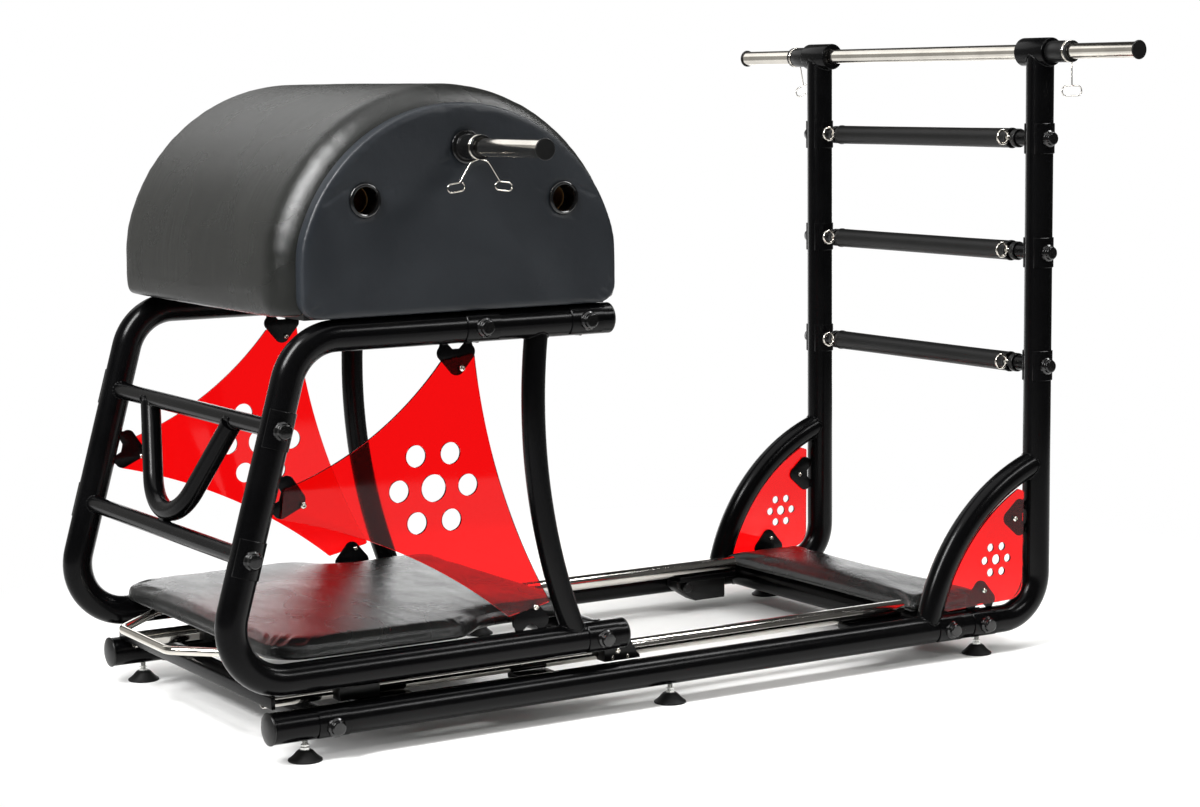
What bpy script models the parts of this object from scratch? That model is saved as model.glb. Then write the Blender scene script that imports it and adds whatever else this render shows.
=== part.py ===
"""Pilates ladder barrel: a steel base with a ladder at one end, and a padded barrel on a carriage
that slides along two rails. Metres, +Z up. The origin is on the floor, midway between the ladder
posts. The barrel lies towards -X, and "near" is the -Y side."""

import math

import bmesh
import bpy
from mathutils import Matrix, Vector

# Driving dimensions
TUBE = 0.0572
BAR = 0.0318
HALF_WIDTH = 0.378
BASE_LENGTH = 1.7535
BASE_Z = 0.0653
LADDER_HEIGHT = 1.2345
RUNG_HEIGHTS = {"upper": 1.0583, "middle": 0.8244, "lower": 0.5905}
CARRIAGE_HALF_WIDTH = 0.373
CARRIAGE_LOW = 0.1485
CARRIAGE_HIGH = 0.7485
DRUM_X = -1.360
DRUM_Z = 0.823
DRUM_RADIUS = 0.359
DRUM_HALF_WIDTH = 0.372
GAP = 0.0003
TURNING_GAP = 0.0006

# Base frame
TUBE_R = TUBE / 2
BAR_R = BAR / 2
BASE_BEND = 0.090
SLEEVE_R = 0.0290
SLEEVE_IN = 0.329
SLEEVE_OUT = 0.414
BRACE_R = 0.0254
BRACE_CENTRE = (0.1241, -0.0119)
BRACE_BEND = 0.420
RAIL_Y = 0.304
RAIL_Z = 0.101
RAIL_START = -1.7337
RAIL_END = -0.300
RAIL_SEATS = ((-1.56, -1.45), (-1.225, -1.15), (-0.45, -0.30))
RAIL_SEAT_THICK = 0.012
FRONT_TUBE_X = -1.639
FRONT_TUBE_Z = 0.0595
FRONT_TUBE_R = 0.022
PLATFORM_TUBES = {"front": -0.245, "rear": -0.154}
FEET = {"front": -1.687, "middle": -0.917, "rear": -0.158}
STUD_R = 0.005
STUD_TOP = 0.060
FOOT_R = 0.031
FOOT_HIGH = 0.018
NUT_R = 0.0085
NUT_HIGH = 0.026
CAP_DEPTH = 0.022
CAP_WALL = 0.0028

# Ladder bar, bushes and wire clips
BAR_END = 0.665
BAR_CAP = 0.003
BAR_CAP_R = 0.019
BUSH_SPIGOT_R = 0.0192
BUSH_COLLAR_R = 0.0220
GROOVE_R = 0.0186
GROOVE_HALF = 0.005
WIRE_R = 0.0013
WIRE_PITCH = 0.0031
WIRE_TURNS = 2
CLIP_R = 0.0211
LADDER_BUSH_OUT = 0.476
LADDER_CLIP_Y = 0.4665
FAR_CLIP_LEAN = -21

# Rungs
RUNG_GRIP = 0.2955
GRIP_R = 0.0205
EYE_Y = 0.3005
EYE_R = 0.014
EYE_WIRE_R = 0.0028
EYE_X = -0.0310

# Carriage
LEG_X = -1.7515
LEG_AT = 0.5
LEG_SLOPE = 0.2849
CARRIAGE_BEND = 0.100
TOP_END = -1.049
BOTTOM_END = -1.023
REAR_LEG_CENTRE = (-0.0556, 0.590)
REAR_LEG_BEND = 1.153
REAR_LEG_R = 0.02225
STEP_R = 0.0165
STEP_UPPER_Z = 0.592
STEP_LOWER_Z = 0.372
BRACE_V_R = 0.019
BRACE_V_TOP = (0.190, 0.582)
BRACE_V_TIP = 0.319
BRACE_V_BEND = 0.119
BEAMS = {"front": -1.323, "rear": -1.105}
TIE_X = -1.075
PAD_LOW = 0.1774
PAD_HIGH = 0.209
HANDLE_R = 0.008
HANDLE_Z = 0.168
HANDLE_SEAT_X = (-1.600, -1.560)
GUIDES = {"front": (-1.600, -1.520), "rear": (-1.042, -0.9634)}
GUIDE_IN = 0.268
GUIDE_LOW = 0.088
GUIDE_HIGH = 0.1235

# Drum
CORE_RADIUS = 0.309
CORE_HALF_WIDTH = 0.3718
CORE_LOW = CARRIAGE_HIGH + TUBE_R + GAP
PLYWOOD = 0.018
SKIN = 0.012
CUSHION_ROUND = 0.062
CUSHION_END_ANGLE = 7.1
SIDE_RADIUS = 0.328
SIDE_LOW = 0.778
SIDE_BACK = 0.3721
SIDE_FACE = 0.400
SIDE_CORNER = 0.038
SIDE_ROUND = 0.012
HOLE_R = 0.0240
GROMMET_R = 0.030
GROMMET_HIGH = 0.003
BARREL_BAR = (-1.3535, 1.072)
SIDE_HOLES = ((-1.555, 0.983), (-1.153, 0.975))
BARREL_BUSH_OUT = 0.4575
BARREL_CLIP_Y = 0.4477
BARREL_BAR_END = 0.674

# Red panels and their welded brackets
PANEL = 0.005
BRACKET = 0.004
BRACKET_LENGTH = 0.058
LEG_BRACKET_Z = 0.4765

SIDES = {"near": -1, "far": 1}
MAIN_SIDES = 16
SMALL_SIDES = 14
ROUND_SIDES = 16
BORE_SIDES = 8
FOOT_SIDES = 12
COPE_SHORT = 0.010

FINISHES = {
    "frame_paint": ((0.012, 0.012, 0.013), 0.35, 0.0),
    "stainless": ((0.72, 0.70, 0.67), 0.20, 1.0),
    "vinyl": ((0.020, 0.021, 0.021), 0.45, 0.0),
    "side_vinyl": ((0.017, 0.021, 0.026), 0.50, 0.0),
    "black_plastic": ((0.010, 0.010, 0.010), 0.40, 0.0),
    "grip_foam": ((0.014, 0.014, 0.014), 0.80, 0.0),
    "red_acrylic": ((0.900, 0.010, 0.008), 0.08, 0.0),
    "plywood": ((0.420, 0.240, 0.110), 0.60, 0.0),
}


def clear_scene():
    """An empty scene with one collection for the parts and one for the cutters."""
    for obj in list(bpy.data.objects):
        bpy.data.objects.remove(obj, do_unlink=True)
    made = []
    for name in ("pilates_ladder_barrel", "cutters"):
        collection = bpy.data.collections.new(name)
        bpy.context.scene.collection.children.link(collection)
        made.append(collection)
    return made


PARTS, CUTTERS = clear_scene()


def make_finish(name):
    """A Principled material with the colour, roughness and metallic value of one finish."""
    colour, roughness, metallic = FINISHES[name]
    material = bpy.data.materials.new(name)
    material.use_nodes = True
    shader = material.node_tree.nodes["Principled BSDF"]
    shader.inputs["Base Color"].default_value = (*colour, 1.0)
    shader.inputs["Roughness"].default_value = roughness
    shader.inputs["Metallic"].default_value = metallic
    return material


def make_body(name, location):
    """An empty on a body's joint axis, which carries that body's pieces."""
    body = bpy.data.objects.new(name, None)
    PARTS.objects.link(body)
    body.location = location
    return body


MATERIALS = {name: make_finish(name) for name in FINISHES}
BASE = make_body("base_body", (0, 0, 0))
CARRIAGE = make_body("carriage_body", (DRUM_X, 0, RAIL_Z))


def part(obj, finish, body):
    """Names this object as a finished part in its finish, carried by its body."""
    obj.data.materials.append(MATERIALS[finish])
    obj.parent = body
    obj.matrix_parent_inverse = Matrix.Translation(-body.location)
    return obj


def tool(obj):
    """Moves this object to the cutters, out of the render."""
    PARTS.objects.unlink(obj)
    CUTTERS.objects.link(obj)
    obj.hide_render = True
    obj.display_type = "WIRE"
    return obj


def boolean(obj, operation, others):
    for other in others:
        modifier = obj.modifiers.new(other.name, "BOOLEAN")
        modifier.operation = operation
        modifier.solver = "EXACT"
        modifier.object = tool(other)
    return obj


def union(obj, *others):
    return boolean(obj, "UNION", others)


def cut(obj, *others):
    return boolean(obj, "DIFFERENCE", others)


def smooth(mesh):
    mesh.shade_smooth()
    mesh.set_sharp_from_angle(angle=math.radians(35))


def from_bmesh(name, bm):
    """A new object in the parts collection from this bmesh, with its faces pointing out."""
    bmesh.ops.recalc_face_normals(bm, faces=bm.faces)
    mesh = bpy.data.meshes.new(name)
    bm.to_mesh(mesh)
    bm.free()
    smooth(mesh)
    obj = bpy.data.objects.new(name, mesh)
    PARTS.objects.link(obj)
    return obj


def box(name, low, high, bevel=0.0):
    """A block between two corners."""
    low = Vector(low)
    high = Vector(high)
    bm = bmesh.new()
    bmesh.ops.create_cube(bm, size=1.0)
    bmesh.ops.scale(bm, vec=high - low, verts=bm.verts)
    bmesh.ops.translate(bm, vec=(low + high) / 2, verts=bm.verts)
    obj = from_bmesh(name, bm)
    if bevel:
        round_edges(obj, bevel, 2)
    return obj


def round_edges(obj, width, segments):
    modifier = obj.modifiers.new("rounded_edges", "BEVEL")
    modifier.width = width
    modifier.segments = segments
    modifier.limit_method = "ANGLE"
    modifier.angle_limit = math.radians(40)
    return obj


def rod(name, start, end, radius, sides=MAIN_SIDES):
    """A straight round bar between two points."""
    start = Vector(start)
    end = Vector(end)
    along = end - start
    bm = bmesh.new()
    bmesh.ops.create_cone(
        bm, cap_ends=True, segments=sides, radius1=radius, radius2=radius, depth=along.length
    )
    turn = Vector((0, 0, 1)).rotation_difference(along).to_matrix().to_4x4()
    bmesh.ops.transform(bm, matrix=Matrix.Translation((start + end) / 2) @ turn, verts=bm.verts)
    return from_bmesh(name, bm)


def turned(name, profile, steps=ROUND_SIDES, closed=False):
    """A profile of (radius, height) pairs, down its outer side, turned about Z with a Screw modifier."""
    mesh = bpy.data.meshes.new(name)
    points = [(radius, 0, height) for radius, height in profile]
    edges = [(i, i + 1) for i in range(len(points) - 1)]
    if closed:
        edges.append((len(points) - 1, 0))
    mesh.from_pydata(points, edges, [])
    obj = bpy.data.objects.new(name, mesh)
    PARTS.objects.link(obj)
    screw = obj.modifiers.new("turned", "SCREW")
    screw.steps = steps
    screw.render_steps = steps
    screw.use_merge_vertices = True
    screw.merge_threshold = 0.00001
    screw.use_smooth_shade = True
    return obj


def aim(obj, axis, location):
    """Points a turned piece's own Z along this axis, with its origin at the location."""
    obj.rotation_mode = "QUATERNION"
    obj.rotation_quaternion = Vector((0, 0, 1)).rotation_difference(Vector(axis))
    obj.location = location
    return obj


def wire(name, points, radius, sides=MAIN_SIDES):
    """A curve object: a round tube of this radius along the points."""
    curve = bpy.data.curves.new(name, "CURVE")
    curve.dimensions = "3D"
    curve.bevel_depth = radius
    curve.bevel_resolution = sides // 2 - 2
    curve.use_fill_caps = True
    spline = curve.splines.new("POLY")
    spline.points.add(len(points) - 1)
    for knot, point in zip(spline.points, points):
        knot.co = (*point, 1.0)
    obj = bpy.data.objects.new(name, curve)
    PARTS.objects.link(obj)
    return obj


def plate(name, outlines, thickness, y):
    """A flat plate that stands in the XZ plane, centred on this Y. Outlines after the first are holes."""
    curve = bpy.data.curves.new(name, "CURVE")
    curve.dimensions = "2D"
    curve.fill_mode = "BOTH"
    curve.extrude = thickness / 2
    for outline in outlines:
        spline = curve.splines.new("POLY")
        spline.points.add(len(outline) - 1)
        spline.use_cyclic_u = True
        for knot, (x, z) in zip(spline.points, outline):
            knot.co = (x, z, 0.0, 1.0)
    obj = bpy.data.objects.new(name, curve)
    PARTS.objects.link(obj)
    obj.rotation_euler = (math.pi / 2, 0, 0)
    obj.location = (0, y, 0)
    return obj


def solid(curve):
    """The mesh of a curve object, with its caps welded, in the curve's place."""
    bpy.context.view_layer.update()
    graph = bpy.context.evaluated_depsgraph_get()
    mesh = bpy.data.meshes.new_from_object(curve.evaluated_get(graph))
    bm = bmesh.new()
    bm.from_mesh(mesh)
    bmesh.ops.remove_doubles(bm, verts=bm.verts, dist=0.00001)
    name = curve.name
    place = curve.matrix_world.copy()
    bpy.data.objects.remove(curve, do_unlink=True)
    bpy.data.meshes.remove(mesh)
    obj = from_bmesh(name, bm)
    obj.matrix_world = place
    return obj


def loft(name, rings):
    """A closed body through rings of equal point counts, with flat caps on the first and the last."""
    bm = bmesh.new()
    rows = [[bm.verts.new(point) for point in ring] for ring in rings]
    count = len(rows[0])
    for low, high in zip(rows, rows[1:]):
        for i in range(count):
            j = (i + 1) % count
            bm.faces.new((low[i], low[j], high[j], high[i]))
    bm.faces.new(rows[0])
    bm.faces.new(rows[-1])
    return from_bmesh(name, bm)


def clear_of(radius, sides):
    """The radius of a faceted bore whose flats stay clear of a round piece of this radius."""
    return (radius + GAP) / math.cos(math.pi / sides)


def arc(centre, radius, start, end, steps):
    """Points on a flat arc from one angle to the other, in degrees, both ends included."""
    angles = [math.radians(start + (end - start) * i / steps) for i in range(steps + 1)]
    return [(centre[0] + radius * math.cos(a), centre[1] + radius * math.sin(a)) for a in angles]


def circle(centre, radius, count):
    return arc(centre, radius, 0, 360 * (count - 1) / count, count - 1)


def bent(points, radii, steps):
    """The points of a path with each corner between its ends rounded by an arc of its radius."""
    points = [Vector(point) for point in points]
    path = [points[0]]
    for i, radius in enumerate(radii, start=1):
        back = (points[i - 1] - points[i]).normalized()
        ahead = (points[i + 1] - points[i]).normalized()
        half = back.angle(ahead) / 2
        first = points[i] + back * (radius / math.tan(half))
        centre = points[i] + (back + ahead).normalized() * (radius / math.sin(half))
        normal = back.cross(ahead)
        sweep = math.pi - 2 * half
        for step in range(steps + 1):
            turn = Matrix.Rotation(-sweep * step / steps, 3, normal)
            path.append(centre + turn @ (first - centre))
    path.append(points[-1])
    return path


def xz(points, y):
    """Flat (x, z) points stood up in the XZ plane at this Y."""
    return [(x, y, z) for x, z in points]


def leg_x(z):
    """The X of the leaning front leg's centre line at this height."""
    return LEG_X + LEG_SLOPE * (z - LEG_AT)


def end_cap_profile(flange):
    """A domed tube cap with its spigot, down from the top of the dome. The flange hides the rim."""
    spigot = TUBE_R - CAP_WALL - GAP
    dome = [(0.0, 0.0095), (0.0240, 0.0080), (flange, 0.0035), (flange, GAP)]
    return dome + [(spigot, GAP), (spigot, GAP - CAP_DEPTH), (0.0, GAP - CAP_DEPTH)]


def tube_end(name, end, direction):
    """The cutter that hollows a tube's open end for its cap."""
    end = Vector(end)
    direction = Vector(direction)
    inner = end - direction * (CAP_DEPTH + 0.004)
    return rod(name, inner, end + direction * 0.01, TUBE_R - CAP_WALL, MAIN_SIDES)


def bracket_outline():
    """A heart-shaped bracket in its own plane: two feet at the tube, a notch between them, a round tip."""
    lobe = (0.0237, -0.0165)
    lobe_r = 0.0148
    tip = (0.0, -BRACKET_LENGTH + 0.0165)
    tip_r = 0.0165
    right = arc(lobe, lobe_r, 46, -32, 2)
    foot = [(0.0310, 0.0060)]
    round_tip = arc(tip, tip_r, -32, -148, 4)
    left = [(-x, z) for x, z in reversed(foot + right)]
    notch = [(-0.0168, 0.0060), (-0.0168, -0.0005), (-0.0075, -0.0098)]
    notch += [(-x, z) for x, z in reversed(notch)]
    return foot + right + round_tip + left + notch


def bracket(name, foot, direction, y):
    """A welded panel bracket. Its feet stand at this (x, z) point and its tip points along direction."""
    side = Vector((-direction[1], direction[0]))
    down = Vector(direction)
    points = []
    for x, z in bracket_outline():
        point = Vector(foot) + side * x - down * z
        points.append((point.x, point.y))
    return solid(plate(name, [points], BRACKET, y))


def base_frame(label, side):
    """One side of the base: floor tube, bend and ladder post in one tube, with the curved brace, the
    sleeve for the top bar, the seats for the rail and the brackets for the small panel welded on."""
    y = side * HALF_WIDTH
    path = [(-BASE_LENGTH, y, BASE_Z), (0, y, BASE_Z), (0, y, LADDER_HEIGHT)]
    frame = solid(wire(f"base_frame_{label}", bent(path, [BASE_BEND], 6), TUBE_R))
    brace = arc(BRACE_CENTRE, BRACE_BEND, 107.2, 169.4, 7)
    welded = [solid(wire(f"brace_{label}", xz(brace, y), BRACE_R))]
    sleeve_ends = ((0, side * SLEEVE_IN, LADDER_HEIGHT), (0, side * SLEEVE_OUT, LADDER_HEIGHT))
    welded.append(rod(f"sleeve_{label}", *sleeve_ends, SLEEVE_R, ROUND_SIDES))
    top = RAIL_Z - BAR_R - GAP
    for number, (start, end) in enumerate(RAIL_SEATS):
        ys = sorted((side * (RAIL_Y - 0.014), side * (HALF_WIDTH - 0.012)))
        low = (start, ys[0], top - RAIL_SEAT_THICK)
        welded.append(box(f"rail_seat_{number}_{label}", low, (end, ys[1], top)))
    plane = side * (HALF_WIDTH - 0.0015)
    post_foot = (-TUBE_R, 0.2745)
    floor_foot = (-0.149, BASE_Z + TUBE_R)
    welded.append(bracket(f"post_bracket_{label}", post_foot, (-1, 0), plane))
    welded.append(bracket(f"floor_bracket_{label}", floor_foot, (0, 1), plane))
    union(frame, *welded)
    seat = (SLEEVE_OUT - 0.029) - SLEEVE_IN
    length = SLEEVE_OUT - SLEEVE_IN
    narrow = BAR_R + TURNING_GAP
    wide = clear_of(BUSH_SPIGOT_R, ROUND_SIDES)
    bore = [(0, length + 0.01), (wide, length + 0.01), (wide, seat), (narrow, seat), (narrow, -0.01)]
    bore.append((0, -0.01))
    sleeve_bore = turned(f"sleeve_bore_{label}", bore)
    aim(sleeve_bore, (0, side, 0), (0, side * SLEEVE_IN, LADDER_HEIGHT))
    cuts = [sleeve_bore, tube_end(f"cap_bore_{label}", (-BASE_LENGTH, y, BASE_Z), (-1, 0, 0))]
    for place, x in FEET.items():
        ends = ((x, y, 0.02), (x, y, STUD_TOP + 0.003))
        cuts.append(rod(f"stud_bore_{place}_{label}", *ends, STUD_R + TURNING_GAP, BORE_SIDES))
    cut(frame, *cuts)
    return part(frame, "frame_paint", BASE)


def base_cap(label, side):
    cap = turned(f"base_cap_{label}", end_cap_profile(0.0298), MAIN_SIDES)
    aim(cap, (-1, 0, 0), (-BASE_LENGTH, side * HALF_WIDTH, BASE_Z))
    return part(cap, "black_plastic", BASE)


def rail(label, side):
    y = side * RAIL_Y
    ends = ((RAIL_START, y, RAIL_Z), (RAIL_END, y, RAIL_Z))
    return part(rod(f"rail_{label}", *ends, BAR_R, ROUND_SIDES), "stainless", BASE)


def front_plate():
    low = (-1.742, -0.3622, 0.0942)
    high = (-1.734, 0.3622, 0.1165)
    return part(box("front_plate", low, high, 0.002), "frame_paint", BASE)


def coped_tube(name, x, z, radius, centre_y, other_z=None):
    """A cross tube whose ends are shaped to the two lengthwise tubes that it meets."""
    reach = centre_y - COPE_SHORT
    tube = rod(name, (x, -reach, z), (x, reach, z), radius)
    for label, side in SIDES.items():
        height = z if other_z is None else other_z
        ends = ((x - 0.1, side * centre_y, height), (x + 0.1, side * centre_y, height))
        cut(tube, rod(f"{name}_cope_{label}", *ends, clear_of(TUBE_R, MAIN_SIDES)))
    return tube


def cross_tubes():
    front = coped_tube(
        "cross_tube_front", FRONT_TUBE_X, FRONT_TUBE_Z, FRONT_TUBE_R, HALF_WIDTH, BASE_Z
    )
    part(front, "frame_paint", BASE)
    for place, x in PLATFORM_TUBES.items():
        tube = coped_tube(f"cross_tube_platform_{place}", x, BASE_Z, TUBE_R, HALF_WIDTH)
        part(tube, "frame_paint", BASE)


def rung(label, height):
    """A ladder rung with its two screw eyes. Its ends are shaped to the posts."""
    ends = ((0, -HALF_WIDTH, height), (0, HALF_WIDTH, height))
    bar = rod(f"rung_{label}", *ends, BAR_R, SMALL_SIDES)
    for side_label, side in SIDES.items():
        eye = circle((EYE_X, height + EYE_WIRE_R), EYE_R, 12)
        ring = wire(f"eye_{label}_{side_label}", xz(eye, side * EYE_Y), EYE_WIRE_R, 6)
        ring.data.splines[0].use_cyclic_u = True
        union(bar, solid(ring))
        y = side * HALF_WIDTH
        ends = ((0, y, height - 0.1), (0, y, height + 0.1))
        cut(bar, rod(f"rung_cope_{label}_{side_label}", *ends, clear_of(TUBE_R, MAIN_SIDES)))
    return part(bar, "frame_paint", BASE)


def grip(label, height):
    """A soft sleeve on a rung, with a small lip at each end."""
    bore = clear_of(BAR_R, SMALL_SIDES)
    lip = RUNG_GRIP - 0.005
    outer = [(GRIP_R + 0.001, RUNG_GRIP), (GRIP_R + 0.001, lip), (GRIP_R, lip - 0.001)]
    profile = [(bore, RUNG_GRIP)] + outer + [(r, -y) for r, y in reversed(outer)] + [(bore, -RUNG_GRIP)]
    sleeve = turned(f"grip_{label}", profile, SMALL_SIDES, closed=True)
    aim(sleeve, (0, 1, 0), (0, 0, height))
    return part(sleeve, "grip_foam", BASE)


def grooved_collar(start, end, groove):
    """The outer side of a bush collar with its wire groove, down from the outer end."""
    profile = [(BUSH_COLLAR_R, end)]
    profile += [(BUSH_COLLAR_R, groove + GROOVE_HALF), (GROOVE_R, groove + GROOVE_HALF)]
    profile += [(GROOVE_R, groove - GROOVE_HALF), (BUSH_COLLAR_R, groove - GROOVE_HALF)]
    return profile + [(BUSH_COLLAR_R, start)]


def ladder_bush(label, side):
    """The bush in a sleeve's outer end, in which the top bar turns."""
    bore = BAR_R + TURNING_GAP
    seat = SLEEVE_OUT - 0.029 + GAP
    profile = [(bore, LADDER_BUSH_OUT)]
    profile += grooved_collar(SLEEVE_OUT + GAP, LADDER_BUSH_OUT, LADDER_CLIP_Y)
    profile += [(BUSH_SPIGOT_R, SLEEVE_OUT + GAP), (BUSH_SPIGOT_R, seat), (bore, seat)]
    bush = turned(f"bar_bush_{label}", profile, closed=True)
    aim(bush, (0, side, 0), (0, 0, LADDER_HEIGHT))
    return part(bush, "black_plastic", BASE)


def capped_bar(name, half_length):
    """A round bar with a slightly wider cap on each end, turned as one shape."""
    end = half_length + BAR_CAP
    cap = [(0, end), (BAR_CAP_R - 0.002, end), (BAR_CAP_R, end - 0.002), (BAR_CAP_R, half_length)]
    cap.append((BAR_R, half_length))
    return turned(name, cap + [(r, -y) for r, y in reversed(cap)])


def ladder_bar():
    bar = aim(capped_bar("ladder_bar", BAR_END), (0, 1, 0), (0, 0, LADDER_HEIGHT))
    return part(bar, "stainless", BASE)


def coil_path(side):
    """The turns of a wire clip round its bush, from the bottom and back to it."""
    per_turn = 10
    count = WIRE_TURNS * per_turn
    path = []
    for step in range(count + 1):
        angle = 2 * math.pi * step / per_turn - math.pi / 2
        along = side * WIRE_PITCH * (step / per_turn - WIRE_TURNS / 2)
        path.append(Vector((CLIP_R * math.cos(angle), along, CLIP_R * math.sin(angle))))
    return path


def loop_path(end, down, length, width, shift=0.0):
    """A long wire loop that begins at the end of a leg and stops just short of closing. It lies across
    the down direction, with its middle moved sideways by the shift."""
    across = Vector((-down.z, 0, down.x))
    r = width / 2
    high = shift + length / 2 - r
    low = shift - length / 2 + r
    tail = -3.2 * WIRE_R
    first = [(high + r * math.sin(a), r * (1 - math.cos(a))) for a in half_turn()]
    second = [(low - r * math.sin(a), r * (1 + math.cos(a))) for a in half_turn()]
    if low > tail:
        second[-1] = (tail, r - math.sqrt(r**2 - (low - tail) ** 2))
    else:
        second.append((tail, 0.0))
    return [end + across * u + down * v for u, v in [(0.0, 0.0)] + first + second]


def half_turn():
    return [math.pi * step / 4 for step in range(5)]


def least_gap(name, path, radius):
    """Prints the least clear gap between stretches of a wire that are not next to each other."""
    steps = [0.0]
    for one, two in zip(path, path[1:]):
        steps.append(steps[-1] + (two - one).length)
    least = math.inf
    for i, one in enumerate(path):
        for j in range(i + 1, len(path)):
            if steps[j] - steps[i] > 8 * radius:
                least = min(least, (path[j] - one).length)
    print(f"{name}: least gap {1000 * (least - 2 * radius):.2f} mm")


def ladder_clip(label, side):
    """A wire clip that hangs from a bush's groove by two turns, with one leg and a loop."""
    last = coil_path(side)
    y = last[-1].y
    knee = Vector((0.0045, y, -CLIP_R - 0.0022))
    leg = Vector((0.0, side * 0.008, -0.0695))
    path = last + [knee, knee + Vector((-0.0008, 0, -0.0035))]
    path += loop_path(leg, Vector((0, 0, -1)), 0.052, 0.020)
    least_gap(f"ladder_clip_{label}", path, WIRE_R)
    clip = wire(f"ladder_clip_{label}", path, WIRE_R, 6)
    clip.location = (0, side * LADDER_CLIP_Y, LADDER_HEIGHT)
    if label == "far":
        clip.rotation_euler = (0, math.radians(FAR_CLIP_LEAN), 0)
    return part(clip, "stainless", BASE)


def barrel_clip(label, side):
    """A wire clip round the drum's bush: two turns, two splayed legs that cross, and a loop on each."""
    turns = coil_path(side)
    knee = Vector((0.0155, 0, -0.0256))
    foot = Vector((0.0392, 0, -0.0615))
    leg = (foot - knee).normalized()
    right = [knee, foot - leg * 0.004]
    right += loop_path(foot, Vector((-0.122, 0, -0.9925)), 0.034, 0.015, 0.008)
    left = [Vector((-p.x, p.y, p.z)) for p in reversed(right)]
    path = [p + Vector((0, turns[0].y, 0)) for p in left] + turns
    path += [p + Vector((0, turns[-1].y, 0)) for p in right]
    least_gap(f"barrel_clip_{label}", path, WIRE_R)
    clip = wire(f"barrel_clip_{label}", path, WIRE_R, 6)
    clip.location = (BARREL_BAR[0], side * BARREL_CLIP_Y, BARREL_BAR[1])
    return part(clip, "stainless", CARRIAGE)


def foot(place, label):
    """A levelling foot: a rubber cone, a nut and a stud that turns in the floor tube."""
    profile = [(0, STUD_TOP), (STUD_R, STUD_TOP), (STUD_R, NUT_HIGH), (NUT_R, NUT_HIGH)]
    profile += [(NUT_R, FOOT_HIGH + 0.001), (NUT_R + 0.004, FOOT_HIGH)]
    profile += [(FOOT_R, 0.003), (FOOT_R, 0.0), (0, 0.0)]
    obj = turned(f"foot_{place}_{label}", profile, FOOT_SIDES)
    obj.location = (FEET[place], SIDES[label] * HALF_WIDTH, 0)
    return part(obj, "black_plastic", BASE)


def stop():
    """The stop block under the far rail, and its round knob on a stem."""
    high = RAIL_Z - BAR_R - RAIL_SEAT_THICK - 2 * GAP
    outline = [(-0.448, high), (-0.320, high), (-0.320, 0.025), (-0.399, 0.025)]
    outline += [(-0.440, 0.050), (-0.448, 0.058)]
    back = HALF_WIDTH - TUBE_R - GAP
    front = 0.306
    knob_x = -0.428
    knob_z = 0.060
    block = solid(plate("stop_block", [outline], back - front, (back + front) / 2))
    ends = ((knob_x, front - 0.01, knob_z), (knob_x, front + 0.02, knob_z))
    cut(block, rod("stop_bore", *ends, 0.0044, 12))
    part(block, "black_plastic", BASE)
    profile = [(0, 0.016), (0.0105, 0.016), (0.012, 0.0145), (0.012, GAP), (0.004, GAP)]
    profile += [(0.004, -0.018), (0, -0.018)]
    knob = aim(turned("stop_knob", profile, SMALL_SIDES), (0, -1, 0), (knob_x, front, knob_z))
    return part(knob, "black_plastic", BASE)


def offset(outline, distance):
    """A closed counter-clockwise outline moved inwards by this distance."""
    moved = []
    count = len(outline)
    for i in range(count):
        before = Vector(outline[i - 1])
        here = Vector(outline[i])
        after = Vector(outline[(i + 1) % count])
        one = (here - before).normalized()
        two = (after - here).normalized()
        normal = Vector((-one.y - two.y, one.x + two.x)) / (1 + one.dot(two))
        moved.append(tuple(here + normal * distance))
    return moved


def scaled(outline, centre, factor):
    x0, y0 = centre
    return [(x0 + (x - x0) * factor, y0 + (y - y0) * factor) for x, y in outline]


def pad(name, outline, centre, low, high, crown):
    """A cushion on a board: sides that draw in under the edge, a rounded edge and a crowned top."""
    rings = []
    for inset, z in ((0.006, low), (0.0, low + 0.010), (0.0010, high - 0.007)):
        rings.append([(x, y, z) for x, y in offset(outline, inset)])
    for inset, z in ((0.0045, high - 0.002), (0.0105, high)):
        rings.append([(x, y, z) for x, y in offset(outline, inset)])
    inner = offset(outline, 0.0105)
    for factor in (0.90, 0.65, 0.32):
        z = high + crown * (1 - factor**2)
        rings.append([(x, y, z) for x, y in scaled(inner, centre, factor)])
    return loft(name, rings)


def mirrored(half):
    """A closed counter-clockwise outline in XY from its +Y half, which runs from +X to -X."""
    return half + [(x, -y) for x, y in reversed(half)]


def platform_pad():
    """The padded standing platform between the ladder posts."""
    front = -0.2985
    back = -0.095
    wide = 0.345
    r = 0.014
    half = arc((back - r, wide - r), r, 0, 90, 3)
    half.append(((front + back) / 2, wide - 0.0015))
    half += arc((front + r, wide - r), r, 90, 180, 3)
    half += [(front + 0.0015, wide * 0.5), (front + 0.0025, wide * 0.15)]
    half = [(back - 0.002, wide * 0.15), (back - 0.0015, wide * 0.5)] + half
    middle = ((front + back) / 2, 0)
    obj = pad("platform_pad", mirrored(half), middle, 0.0942, 0.118, 0.009)
    return part(obj, "vinyl", BASE)


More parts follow.
